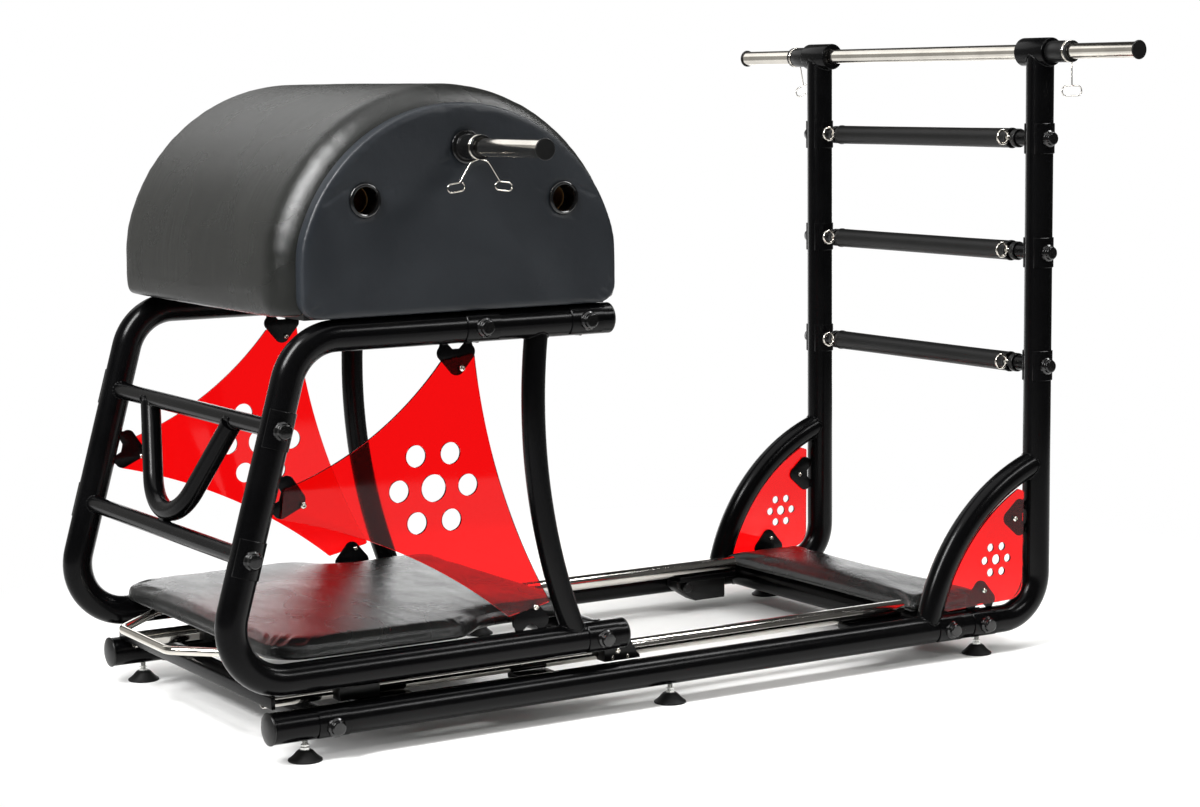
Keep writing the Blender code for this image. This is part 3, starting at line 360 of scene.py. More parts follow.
def circle(count):
    """The cosine and sine of evenly spaced angles."""
    angles = [2 * math.pi * k / count for k in range(count)]
    return [(math.cos(angle), math.sin(angle)) for angle in angles]


def sweep(name, path, radius, sides=40, closed=False):
    """A round tube along a path. The radius may be one for each point."""
    path = [Vector(point) for point in path]
    count = len(path)
    radii = radius if isinstance(radius, list) else [radius] * count
    tangents = []
    for i in range(count):
        ahead = path[(i + 1) % count] if closed else path[min(i + 1, count - 1)]
        back = path[i - 1] if closed else path[max(i - 1, 0)]
        tangents.append((ahead - back).normalized())
    across = tangents[0].orthogonal().normalized()
    rings = []
    for i, (point, tangent) in enumerate(zip(path, tangents)):
        if i:
            across = tangents[i - 1].rotation_difference(tangent) @ across
        across = (across - tangent * across.dot(tangent)).normalized()
        other = tangent.cross(across)
        rings.append([point + (across * c + other * s) * radii[i] for c, s in circle(sides)])
    return rings_mesh(name, rings, closed, sharp=60)


def lathe(name, profile, axis, location, steps=48, closed=False, sharp=32):
    """A profile of (radius, height) pairs turned about an axis. Radius 0 closes an end."""
    turn = Vector(UPWARDS).rotation_difference(Vector(axis)).to_matrix().to_4x4()
    place = Matrix.Translation(location) @ turn
    rings = []
    for radius, height in profile:
        ring = circle(steps) if radius > 1e-6 else [(0, 0)]
        rings.append([place @ Vector((radius * c, radius * s, height)) for c, s in ring])
    return rings_mesh(name, rings, closed, False, sharp)


def turned(name, profile, side, place, finish, body, *nodes, steps=48, closed=True):
    """A piece turned about a crosswise axis at this (x, z) place."""
    obj = lathe(name, profile, (0, side, 0), (place[0], 0, place[1]), steps, closed)
    return piece(obj, finish, body, *nodes)


def flipped(points):
    """The mirror image of half an outline, in the opposite order."""
    return [(-a, b) for a, b in reversed(points)]


def arc(centre, radius, start, end, steps):
    angles = [math.radians(start + (end - start) * i / steps) for i in range(steps + 1)]
    return [(centre[0] + radius * math.cos(a), centre[1] + radius * math.sin(a)) for a in angles]


def bent(points, radii, steps=14):
    """A path with each inner corner rounded by an arc of its radius."""
    points = [Vector(point) for point in points]
    path = [points[0]]
    for i, radius in enumerate(radii, start=1):
        back = (points[i - 1] - points[i]).normalized()
        ahead = (points[i + 1] - points[i]).normalized()
        half = back.angle(ahead) / 2
        first = points[i] + back * (radius / math.tan(half))
        centre = points[i] + (back + ahead).normalized() * (radius / math.sin(half))
        normal = back.cross(ahead)
        sweep_angle = math.pi - 2 * half
        for step in range(steps + 1):
            turn = Matrix.Rotation(-sweep_angle * step / steps, 3, normal)
            path.append(centre + turn @ (first - centre))
    path.append(points[-1])
    return path


def soft(points, radius, steps=3, closed=True):
    """A flat outline or profile with its corners rounded, by less where a side is short."""
    points = [Vector(point) for point in points]
    count = len(points)
    made = []
    for i, here in enumerate(points):
        back = points[i - 1] - here
        ahead = points[(i + 1) % count] - here
        at_end = not closed and i in (0, count - 1)
        if at_end or min(back.length, ahead.length) < 1e-7 or back.angle(ahead) / 2 > math.radians(80):
            made.append(tuple(here))
            continue
        half = back.angle(ahead) / 2
        reach = min(radius / math.tan(half), back.length * 0.45, ahead.length * 0.45)
        r = reach * math.tan(half)
        centre = here + (back.normalized() + ahead.normalized()).normalized() * (r / math.sin(half))
        start = here + back.normalized() * reach - centre
        end = here + ahead.normalized() * reach - centre
        whole = math.atan2(start.x * end.y - start.y * end.x, start.dot(end))
        for step in range(steps + 1):
            a = whole * step / steps
            ca, sa = math.cos(a), math.sin(a)
            made.append((centre.x + start.x * ca - start.y * sa, centre.y + start.x * sa + start.y * ca))
    return made


def plate(name, outlines, low, high, bevel=0.0005, segments=2):
    """A plate that stands in the XZ plane between two Ys, with rounded edges. Later outlines are holes."""
    curve = bpy.data.curves.new(name, "CURVE")
    put(curve, dimensions="2D", fill_mode="BOTH", extrude=abs(high - low) / 2 - bevel, bevel_depth=bevel,
        bevel_resolution=segments, offset=-bevel)
    for outline in outlines:
        spline = curve.splines.new("POLY")
        spline.points.add(len(outline) - 1)
        spline.use_cyclic_u = True
        for knot, (x, z) in zip(spline.points, outline):
            knot.co = (x, z, 0.0, 1.0)
    obj = placed(name, curve)
    mesh = evaluated(obj)
    bpy.data.objects.remove(obj, do_unlink=True)
    mesh.transform(Matrix.Translation((0, (low + high) / 2, 0)) @ Matrix.Rotation(math.pi / 2, 4, "X"))
    bm = bmesh.new()
    bm.from_mesh(mesh)
    bmesh.ops.remove_doubles(bm, verts=bm.verts, dist=1e-6)
    return from_bmesh(name, bm, 8)


def block(name, low, high, bevel=0.002):
    """A box between two corners with rounded edges."""
    low, high = Vector(low), Vector(high)
    bm = bmesh.new()
    bmesh.ops.create_cube(bm, size=1.0)
    bmesh.ops.scale(bm, vec=high - low, verts=bm.verts)
    bmesh.ops.translate(bm, vec=(low + high) / 2, verts=bm.verts)
    bmesh.ops.bevel(bm, geom=bm.edges[:], offset=bevel, segments=3, affect="EDGES", profile=0.5)
    return from_bmesh(name, bm, 40)


def softened(name, width=0.0015, segments=2):
    """A copy of a CAD node's mesh with its edges rounded."""
    bm = bmesh.new()
    bm.from_mesh(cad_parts[name].data)
    bmesh.ops.remove_doubles(bm, verts=bm.verts, dist=1e-6)
    bmesh.ops.dissolve_limit(bm, angle_limit=math.radians(1), verts=bm.verts, edges=bm.edges)
    edges = [e for e in bm.edges if len(e.link_faces) == 2 and e.calc_face_angle(0) > math.radians(40)]
    bmesh.ops.bevel(bm, geom=edges, offset=width, segments=segments, affect="EDGES", profile=0.5,
                    clamp_overlap=True)
    return from_bmesh(f"{name}_soft", bm, 40)


def bead(name, start, direction, radius, centre, axis, other, body, size=0.0022):
    """The weld where a tube from start along direction meets another tube: a fine wavy ring."""
    start, centre = Vector(start), Vector(centre)
    a = Vector(direction).normalized()
    b = Vector(axis).normalized()
    u = (b - a * a.dot(b)).normalized()
    v = a.cross(u)
    w = a - b * a.dot(b)
    path = []
    steps = 64
    for c, s in circle(steps):
        p = start + (u * c + v * s) * radius
        q = p - centre
        q -= b * q.dot(b)
        half = q.dot(w)
        inside = half * half - w.dot(w) * (q.dot(q) - other * other)
        path.append(p + a * ((-half - math.sqrt(max(inside, 0))) / w.dot(w)))
    radii = [size * (1 + 0.22 * math.sin(2 * math.pi * k * 16 / steps)) for k in range(steps)]
    return piece(sweep(name, path, radii, 8, closed=True), "paint", body)


def saddle(name, centre, axis, out, body, length):
    """A curved washer that hugs a tube."""
    centre, axis, out = Vector(centre), Vector(axis), Vector(out)
    across = axis.cross(out)
    rows = []
    wall, half_angle = 0.003, 62
    shift = ((-0.5, 0), (-0.5, 0.7), (-0.487, 1.0), (0.487, 1.0), (0.5, 0.7), (0.5, 0))
    for k in range(33):
        angle = math.radians(half_angle * (k - 16) / 16)
        edge = min(1.0, (16 - abs(k - 16)) / 1.5)
        row = []
        for along, lift in shift:
            r = TUBE_R - 0.0005 + wall * lift * (0.25 + 0.75 * edge)
            way = out * math.cos(angle) + across * math.sin(angle)
            row.append(centre + axis * along * length + way * r)
        rows.append(row)
    return piece(rings_mesh(name, rows, sharp=40), "paint", body)


def bolt_cap(name, centre, out, body):
    """The plastic cover of a bolt head: a conical skirt and a round cap."""
    skirt = [(0.018, 0), (0.0172, 0.0034), (0.014, 0.0066), (0.0132, 0.012), (0.011, 0.0136)]
    skirt = soft(skirt + [(0, 0.014)], 0.0016, 3, False)
    return piece(lathe(name, skirt, out, centre, 36), "gloss", body)


# Camera, light and floor


def camera():
    """The photograph's view."""
    data = bpy.data.cameras.new("camera")
    put(data, lens=77.936, sensor_width=36.0, sensor_fit="HORIZONTAL", clip_end=100.0)
    obj = placed("camera", data)
    obj.location = (-3.5868567, -4.4657982, 1.1836582)
    obj.rotation_euler = (1.4476012, 0.0110944, -0.553713)
    bpy.context.scene.camera = obj


def lamp(name, place, target, size, watts):
    """A rectangular softbox that faces its target."""
    data = bpy.data.lights.new(name, "AREA")
    put(data, shape="RECTANGLE", size=size[0], size_y=size[1], energy=watts)
    obj = placed(name, data)
    obj.location = place
    obj.rotation_euler = (Vector(target) - Vector(place)).to_track_quat("-Z", "Y").to_euler()


def lights():
    """Five softboxes, and a world that the camera sees as white. Only reflections and, more weakly,
    diffuse light meet the world as it is: bright low down and behind the object."""
    lamp("left_softbox", (-3.7, -0.75, 3.1), (-0.95, -0.35, 1.0), (0.9, 2.0), 250)
    lamp("front_softbox", (0.8, -3.1, 2.95), (-0.9, -0.35, 0.6), (1.4, 0.5), 42)
    lamp("top_softbox", (-1.4, -0.3, 4.0), (-0.7, 0, 0.4), (3.4, 3.6), 60)
    lamp("right_softbox", (1.3, -0.6, 3.5), (-0.6, -0.35, 0.5), (0.7, 1.8), 60)
    lamp("back_softbox", (-1.3, 3.5, 3.4), (-0.7, 0, 0.6), (3.2, 2.0), 22)
    world = bpy.data.worlds.new("studio")
    bpy.context.scene.world = world
    world.use_nodes = True
    place = node(world, "TexCoord")
    split = node(world, "SeparateXYZ", (0, place, "Generated"))
    way = (-0.35, 0.94, 0)
    behind = node(world, "VectorMath", (0, place, "Generated"), (1, way), operation="DOT_PRODUCT")
    low = mapped(world, split, "Z", 0.45, 0.75, 1.0, 0.15, interpolation_type="SMOOTHSTEP")
    wall = mapped(world, behind, "Value", 0.6, 0.95, 0.08, 0.38, interpolation_type="SMOOTHSTEP")
    path = node(world, "LightPath")
    fill = maths(world, "MULTIPLY", (path, "Is Diffuse Ray"), 0.5)
    level = maths(world, "MAXIMUM", (maths(world, "MULTIPLY", (low, 0), (wall, 0)), 0), (fill, 0))
    ground = world.node_tree.nodes["Background"]
    ground.inputs["Color"].default_value = (1.0, 0.99, 0.96, 1)
    world.node_tree.links.new(level.outputs[0], ground.inputs["Strength"])
    seen = node(world, "Background", Color=(1, 1, 1, 1))
    direct = maths(world, "MAXIMUM", (path, "Is Camera Ray"), (path, "Is Transmission Ray"))
    link(world, node(world, "MixShader", ("Fac", direct, 0), (1, ground, 0), (2, seen, 0)), "Surface")


def floor():
    """A white floor that keeps the shadows near the object and is plain white further away."""
    bm = bmesh.new()
    bmesh.ops.create_circle(bm, cap_ends=True, segments=96, radius=3.6)
    bmesh.ops.translate(bm, vec=(-0.7, 0.4, 0), verts=bm.verts)
    obj = from_bmesh("floor", bm)
    mat = look("floor_white", (0.93, 0.93, 0.92), 0.85)
    place = node(mat, "NewGeometry")
    middle = (-0.55, 0.05, 0)
    away = node(mat, "VectorMath", (0, place, "Position"), (1, middle), operation="DISTANCE")
    fade = mapped(mat, away, "Value", 0.9, 1.75, 0.0, 1.0, interpolation_type="SMOOTHSTEP")
    path = node(mat, "LightPath")
    direct = maths(mat, "MAXIMUM", (path, "Is Camera Ray"), (path, "Is Transmission Ray"))
    seen = maths(mat, "MAXIMUM", (direct, 0), (path, "Is Glossy Ray"))
    factor = maths(mat, "MULTIPLY", (seen, 0), (fade, 0))
    glow = node(mat, "Emission", Color=(1, 1, 1, 1), Strength=1.0)
    shader = mat.node_tree.nodes["Principled BSDF"]
    link(mat, node(mat, "MixShader", ("Fac", factor, 0), (1, shader, 0), (2, glow, 0)), "Surface")
    obj.data.materials.append(mat)


def backdrop():
    """A low bright backdrop behind the object, met only by its reflections."""
    bm = bmesh.new()
    corners = ((-1.0, 0), (3.6, 0), (3.6, 1.6), (-1.0, 1.6))
    bm.faces.new([bm.verts.new((x, 3.1, z)) for x, z in corners])
    obj = from_bmesh("backdrop", bm)
    mat = look("backdrop_white", (0.9, 0.9, 0.9), 0.9)
    split = node(mat, "SeparateXYZ", ("Vector", node(mat, "NewGeometry"), "Position"))
    fade = mapped(mat, split, "Z", 0.9, 1.5, 2.4, 0.0, interpolation_type="SMOOTHSTEP")
    link(mat, node(mat, "Emission", ("Strength", fade, 0), Color=(1, 1, 1, 1)), "Surface")
    obj.data.materials.append(mat)
    put(obj, visible_camera=False, visible_transmission=False, visible_diffuse=False, visible_shadow=False)


# Base


def cap_profile(flange):
    plug = TUBE_R - 0.004
    dome = [(0, 0.0095), (0.01, 0.0092), (0.0205, 0.0076), (flange - 0.001, 0.0042), (flange, 0.003)]
    return soft(dome + [(flange, 0), (plug, 0), (plug, -0.01), (0, -0.01)], 0.0015, 3, False)


def bracket_outline():
    right = [(0.031, 0.004)] + arc((0.0237, -0.0165), 0.0148, 46, -32, 8)
    tip = arc((0, -0.0415), 0.0165, -32, -148, 16)
    notch = [(-0.0168, 0.004), (-0.0168, -0.0005), (-0.0075, -0.0098)]
    return right + tip + flipped(right) + notch + flipped(notch)


def bracket(name, foot, direction, side, y, body):
    """A welded heart-shaped bracket behind a panel, with short welds along its feet."""
    down = Vector(direction)
    across = Vector((-down.y, down.x))
    points = []
    for x, z in bracket_outline():
        point = Vector(foot) + across * x - down * z
        points.append((point.x, point.y))
    parts = [plate(name, [points], side * y - 0.002, side * y + 0.002)]
    for shift in (-0.024, 0.024):
        reaches = (-0.0062, -0.002, 0.002, 0.0062)
        ends = [Vector(foot) + across * (shift + reach) - down * 0.0004 for reach in reaches]
        for lift in (-0.0022, 0.0022):
            path = [(p.x, side * y + lift, p.y) for p in ends]
            parts.append(sweep("weld", path, [0.0012, 0.0022, 0.002, 0.0012], 8))
    return piece(joined(name, *parts), "paint", body)


def screw(name, place, out, body, radius=0.0062, high=0.0034):
    """A button-head screw with a round socket."""
    dome = [(radius, 0), (radius * 0.97, high * 0.35), (radius * 0.8, high * 0.75), (radius * 0.52, high)]
    dome += [(radius * 0.42, high * 0.98), (radius * 0.36, high * 0.35), (0, high * 0.3)]
    return piece(lathe(name, dome, out, place, 24), "steel", body)


def panel_screws(name, spots, label, side, head_y, nut_y, body):
    """The screws that hold a panel to its brackets, with their nuts."""
    for number, (x, z) in enumerate(spots):
        screw(f"{name}_screw_{number}_{label}", (x, side * head_y, z), (0, side, 0), body)
        screw(f"{name}_nut_{number}_{label}", (x, side * nut_y, z), (0, -side, 0), body, 0.0056, 0.0042)


def base_side(label, side):
    """One floor tube with its post, brace, sleeve, rail and fasteners."""
    y, out = side * HALF_WIDTH, (0, side, 0)
    path = bent([(BASE_START, y, BASE_Z), (0, y, BASE_Z), (0, y, TOP_Z)], [0.09], 20)
    piece(sweep(f"floor_tube_{label}", path, TUBE_R, 44), "paint", "base", f"base_frame_{label}")
    brace = [(x, y, z) for x, z in arc(*BRACE_ARC, 107.2, 169.4, 32)]
    piece(sweep(f"brace_tube_{label}", brace, BRACE_R, 40), "paint", "base")
    top = Vector(brace[2]) - Vector(brace[4])
    low = Vector(brace[-3]) - Vector(brace[-5])
    bead(f"weld_brace_top_{label}", brace[4], top, BRACE_R, (0, y, 0.4), UPWARDS, TUBE_R, "base")
    bead(f"weld_brace_low_{label}", brace[-5], low, BRACE_R, (0, y, BASE_Z), LENGTHWISE, TUBE_R, "base")
    bore, seat, sleeve_r, start, step, end = 0.0164, 0.0198, 0.029, 0.329, 0.385, 0.414
    sleeve = [(bore, start), (sleeve_r, start), (sleeve_r, end), (seat, end), (seat, step), (bore, step)]
    turned(f"sleeve_{label}", soft(sleeve, 0.0018, 4), side, (0, TOP_Z), "paint", "base")
    under = (0, y, TOP_Z - 0.1)
    bead(f"weld_sleeve_{label}", under, UPWARDS, TUBE_R, (0, 0, TOP_Z), CROSSWISE, 0.0291, "base")
    inner, outer = sorted((side * 0.29, side * 0.364))
    for number, (start, end) in enumerate(((-1.56, -1.45), (-1.225, -1.15), (-0.45, -0.3))):
        seat = block(f"rail_seat_{number}_{label}", (start, inner, 0.0729), (end, outer, 0.0848), 0.0015)
        piece(seat, "paint", "base")
    bracket(f"post_bracket_{label}", (-TUBE_R, 0.2745), (-1, 0), side, 0.3765, "base")
    bracket(f"floor_bracket_{label}", (-0.149, BASE_Z + TUBE_R), (0, 1), side, 0.3765, "base")
    panel_screws("panel", ((-0.061, 0.2735), (-0.1426, 0.1309)), label, side, 0.3838, 0.3745, "base")
    cap = lathe(f"floor_cap_{label}", cap_profile(0.0298), (-1, 0, 0), (BASE_START, y, BASE_Z), 48)
    piece(cap, "plastic", "base", f"base_cap_{label}")
    hollow, start, end = 0.0142, -0.3, -1.7337
    rail = soft([(hollow, start), (BAR_R, start), (BAR_R, end), (hollow, end)], 0.0006, 2)
    obj = lathe(f"rail_tube_{label}", rail, LENGTHWISE, (0, side * RAIL_Y, RAIL_Z), 48, closed=True)
    piece(obj, "rail_steel", "base", f"rail_{label}")
    for x, name, z in ((FRONT_TUBE[0], "front", FRONT_TUBE[1]), (PLATFORM_TUBES["front"], "pf", BASE_Z),
                       (PLATFORM_TUBES["rear"], "pr", BASE_Z)):
        saddle(f"base_saddle_{name}_{label}", (x, y, BASE_Z), LENGTHWISE, out, "base", 0.062)
        bolt_cap(f"base_bolt_{name}_{label}", (x, y + side * BOLT_OUT, z), out, "base")
    for name, height in RUNGS.items():
        for tag, way in (("out", side), ("in", -side)):
            saddle(f"post_saddle_{name}_{tag}_{label}", (0, y, height), UPWARDS, (0, way, 0), "base", 0.062)
        bolt_cap(f"post_bolt_{name}_{label}", (0, y + side * BOLT_OUT, height), out, "base")


def foot(place, label, side):
    """A levelling foot: a flared rubber cone, a hexagon nut and a threaded stud."""
    x, y, body = FEET[place], side * HALF_WIDTH, f"foot_{place}_{label}"
    cone = [(0, 0), (0.03, 0), (0.031, 0.001), (0.0306, 0.0032), (0.0262, 0.0062), (0.0212, 0.0106)]
    cone += [(0.0164, 0.0162), (0.0136, 0.0188), (0.012, 0.0196), (0, 0.0198)]
    piece(lathe(f"foot_cone_{place}_{label}", cone, UPWARDS, (x, y, 0), 44), "rubber", body, body)
    parts = []
    for low, high, wide in ((0.0192, 0.025, 0.0088), (0.0262, 0.03, 0.0082)):
        nut = [(wide * 0.5, low), (wide, low + 0.0006), (wide, high - 0.0006), (wide * 0.5, high)]
        parts.append(lathe("nut", nut, UPWARDS, (x, y, 0), 6, closed=True, sharp=20))
    stud = [(0, 0.019)]
    for turn in range(16):
        z = 0.019 + turn * 0.0012
        stud += [(0.005, z), (0.0043, z + 0.0006)]
    parts.append(lathe("stud", stud + [(0.005, 0.045), (0, 0.045)], UPWARDS, (x, y, 0), 24))
    piece(joined(f"foot_stud_{place}_{label}", *parts), "zinc", body)


def rung(label, height):
    """A rung with its soft sleeve, end collars and ring eyes."""
    bar_path = [(0, -0.36, height), (0, 0.36, height)]
    piece(sweep(f"rung_bar_{label}", bar_path, BAR_R, 40), "paint", "base", f"rung_{label}")
    bore, end, r, eye_y = BAR_R + 0.0006, 0.2955, 0.0205, 0.3005
    half = [(r + 0.001, end), (r + 0.001, end - 0.0045), (r, end - 0.0065), (r - 0.0004, end * 0.5)]
    outer = half + [(a, -b) for a, b in reversed(half)]
    grip = soft([(bore, end)] + outer + [(bore, -end)], 0.0012, 3)
    turned(f"grip_sleeve_{label}", grip, 1, (0, height), "foam", "base", f"grip_{label}", steps=44)
    for name, side in SIDES.items():
        ring = [(x, side * eye_y, z) for x, z in arc((-0.031, height + 0.0028), 0.014, 0, 354, 59)]
        eye = sweep("eye", ring, 0.0026, 14, closed=True)
        shank = lathe("shank", [(0, -0.002), (0.0045, 0), (0.0045, 0.004), (0.0034, 0.006), (0, 0.006)],
                      (-1, 0, 0), (-BAR_R, side * eye_y, height + 0.0015), 20)
        piece(joined(f"eye_ring_{label}_{name}", eye, shank), "steel", "base")
        collar = soft([(BAR_R, 0.3065), (0.0196, 0.3065), (0.0196, 0.3185), (BAR_R, 0.3185)], 0.0015, 3)
        turned(f"rung_collar_{label}_{name}", collar, side, (0, height), "plastic", "base", steps=40)


def cross_bar(name, x, z, reach, radius, body, *nodes):
    piece(sweep(name, [(x, -reach, z), (x, reach, z)], radius, 40), "paint", body, *nodes)


def welded_bar(name, x, z, radius, y, z_other, body, node_name):
    """A cross bar between two lengthwise tubes, with a weld round each end."""
    cross_bar(f"{name}_tube", x, z, y - 0.012, radius, body, node_name)
    for label, side in SIDES.items():
        other = (x, side * y, z_other)
        bead(f"weld_{name}_{label}", (x, 0, z), (0, side, 0), radius, other, LENGTHWISE, TUBE_R, body)


def base():
    for label, side in SIDES.items():
        base_side(label, side)
        for place in FEET:
            foot(place, label, side)
    for label, height in RUNGS.items():
        rung(label, height)
    end_plate = block("end_plate", (-1.742, -0.3622, 0.0942), (-1.734, 0.3622, 0.1165))
    piece(end_plate, "paint", "base", "front_plate")
    welded_bar("front_cross", *FRONT_TUBE, HALF_WIDTH, BASE_Z, "base", "cross_tube_front")
    for place, x in PLATFORM_TUBES.items():
        welded_bar(f"platform_{place}", x, BASE_Z, TUBE_R - 0.0002, HALF_WIDTH, BASE_Z, "base",
                   f"cross_tube_platform_{place}")
    piece(softened("stop_block", 0.002, 3), "plastic", "base", "stop_block")
    knob = [(0, 0.016), (0.0085, 0.0158), (0.0112, 0.0142), (0.0118, 0.011), (0.0105, 0.0055)]
    knob += [(0.0078, 0.003), (0.0078, 0.0005), (0.004, 0.0005), (0.004, -0.018), (0, -0.018)]
    obj = lathe("round_knob", soft(knob, 0.001, 3, False), (0, -1, 0), (-0.428, 0.306, 0.06), 36)
    piece(obj, "plastic", "stop_knob", "stop_knob")


# Bars, bushes and wire clips


def groove_collar(start, end, groove):
    """The outer side of a bush collar with its wire groove."""
    bore, outer, deep = 0.0165, 0.022, 0.0186
    wire = [(outer, 0.005), (deep, 0.004), (deep, -0.004), (outer, -0.005)]
    return [(bore, end), (outer, end)] + [(r, groove + at) for r, at in wire] + [(outer, start)]


def bar(name, half, place, body):
    """A polished tube with a thin black disc on each end."""
    end = half + 0.002
    shape = [(0, end)] + soft([(BAR_R, end), (BAR_R, -end)], 0.001, 2, False) + [(0, -end)]
    turned(f"{name}_tube", shape, 1, place, "steel", body, body, steps=56, closed=False)
    for label, side in SIDES.items():
        cap = [(BAR_R - 0.001, half - 0.0004), (0.019, half - 0.0002), (0.019, half + 0.0024)]
        cap = soft(cap + [(0.0176, half + 0.003), (0, half + 0.003)], 0.0007, 3, False)
        turned(f"{name}_cap_{label}", cap, side, place, "plastic", body, steps=44, closed=False)


def spiral(side):
    """Two turns of wire in a groove, as a path about the origin."""
    turns, per_turn, pitch = 2, 28, 0.0031
    path = []
    for step in range(turns * per_turn + 1):
        angle = 2 * math.pi * step / per_turn - math.pi / 2
        along = side * pitch * (step / per_turn - turns / 2)
        path.append(Vector((CLIP_R * math.cos(angle), along, CLIP_R * math.sin(angle))))
    return path


def loop(end, down, length, width, shift=0.0):
    """A long wire loop across the end of a leg, its middle moved sideways by the shift."""
    across = Vector((-down.z, 0, down.x))
    r = width / 2
    high, low, tail = shift + length / 2 - r, shift - length / 2 + r, -3.2 * WIRE_R
    half = [math.pi * step / 10 for step in range(11)]
    flat = [(0, 0)]
    flat += [(high + r * math.sin(a), r * (1 - math.cos(a))) for a in half]
    flat += [(low - r * math.sin(a), r * (1 + math.cos(a))) for a in half]
    if low > tail:
        flat[-1] = (tail, r - math.sqrt(r**2 - (low - tail) ** 2))
    else:
        flat.append((tail, 0))
    return [end + across * u + down * v for u, v in flat]


def curve_through(points, rounds):
    """Points with the corners at the given places rounded."""
    made = []
    for i, point in enumerate(points):
        if i in rounds and 0 < i < len(points) - 1:
            back, ahead = points[i - 1] - point, points[i + 1] - point
            reach = min(rounds[i], back.length * 0.45, ahead.length * 0.45)
            a, b = point + back.normalized() * reach, point + ahead.normalized() * reach
            for k in range(6):
                t = k / 5
                made.append(a * (1 - t) ** 2 + point * 2 * t * (1 - t) + b * t * t)
        else:
            made.append(point)
    return made


def clips():
    """The ladder bar's clips have one leg and loop, and the barrel bar's clips have two."""
    for label, side in SIDES.items():
        turns = spiral(side)
        first, last = Vector((0, turns[0].y, 0)), Vector((0, turns[-1].y, 0))
        knee = Vector((0.0045, last.y, -CLIP_R - 0.0022))
        leg = Vector((0, side * 0.008, -0.0695))
        tail = [knee, knee + Vector((-0.0008, 0, -0.0035))] + loop(leg, Vector((0, 0, -1)), 0.052, 0.02)
        path = turns + curve_through([turns[-1]] + tail, {1: 0.002, 2: 0.004, 3: 0.004})[1:]
        lean = Matrix.Rotation(math.radians(-21 if label == "far" else 0), 3, "Y")
        shift = Vector((0, side * 0.4665, TOP_Z))
        wire = sweep(f"ladder_wire_{label}", [lean @ p + shift for p in path], WIRE_R, 12)
        piece(wire, "steel", f"ladder_clip_{label}", f"ladder_clip_{label}")
        knee = Vector((0.0155, 0, -0.0256))
        end = Vector((0.0392, 0, -0.0615))
        right = [turns[-1] - last, knee, end - (end - knee).normalized() * 0.004]
        right += loop(end, Vector((-0.122, 0, -0.9925)), 0.034, 0.015, 0.008)
        right = curve_through(right, {1: 0.006, 2: 0.003, 3: 0.002})[1:]
        left = [Vector((-p.x, p.y, p.z)) for p in reversed(right)]
        path = [p + first for p in left] + turns + [p + last for p in right]
        shift = Vector((BARREL_BAR[0], side * 0.4477, BARREL_BAR[1]))
        wire = sweep(f"barrel_wire_{label}", [p + shift for p in path], WIRE_R, 12)
        piece(wire, "steel", f"barrel_clip_{label}", f"barrel_clip_{label}")


def bushes():
    """The bushes of both bars, and the grommets of the drum ends."""
    for label, side in SIDES.items():
        profile = soft(groove_collar(0.4143, 0.476, 0.4665) + [(0.0165, 0.4143)], 0.0008, 3)
        turned(f"top_bush_{label}", profile, side, (0, TOP_Z), "plastic", "base", f"bar_bush_{label}")
        profile = groove_collar(0.4038, 0.4575, 0.4477)
        profile += [(0.027, 0.4036), (0.0298, 0.4022), (0.03, 0.4003), (0.0235, 0.4003), (0.0235, 0.372)]
        profile = soft(profile + [(0.0165, 0.372)], 0.0008, 3)
        turned(f"drum_bush_{label}", profile, side, BARREL_BAR, "gloss", "carriage", f"barrel_bush_{label}")
        rim = [(0.0238, 0.36), (0.0238, 0.4005), (0.0246, 0.4026), (0.0264, 0.4032), (0.0288, 0.4022)]
        rim += [(0.03, 0.4006), (0.03, 0.399), (0.0246, 0.399), (0.0246, 0.36)]
        for number, place in enumerate(SIDE_HOLES):
            turned(f"grommet_{number}_{label}", rim, side, place, "gloss", "carriage")


# Carriage


def leg_x(z):
    """The X of the side frame's leaning front leg at this height."""
    return -1.7515 + LEG_SLOPE * (z - 0.5)


def arc_through(start, middle, end, steps):
    """Points on the circle through three points, from the first to the last."""
    start, middle, end = Vector(start), Vector(middle), Vector(end)
    a, b = middle - start, end - start
    cross = 2 * (a.x * b.y - a.y * b.x)
    reach = Vector((b.y * a.dot(a) - a.y * b.dot(b), a.x * b.dot(b) - b.x * a.dot(a))) / cross
    centre = start + reach
    first = math.atan2(-reach.y, -reach.x)
    last = math.atan2((end - centre).y, (end - centre).x)
    turn = (last - first) % (2 * math.pi)
    if cross < 0:
        turn -= 2 * math.pi
    return arc(centre, reach.length, math.degrees(first), math.degrees(first + turn), steps)


def hole_pattern(centre, apart, radius):
    """A larger middle hole with six round it."""
    around = [arc(place, radius, 0, 350, 35) for place in arc(centre, apart, 0, 300, 5)]
    return [arc(centre, radius * 1.25, 0, 352, 44)] + around


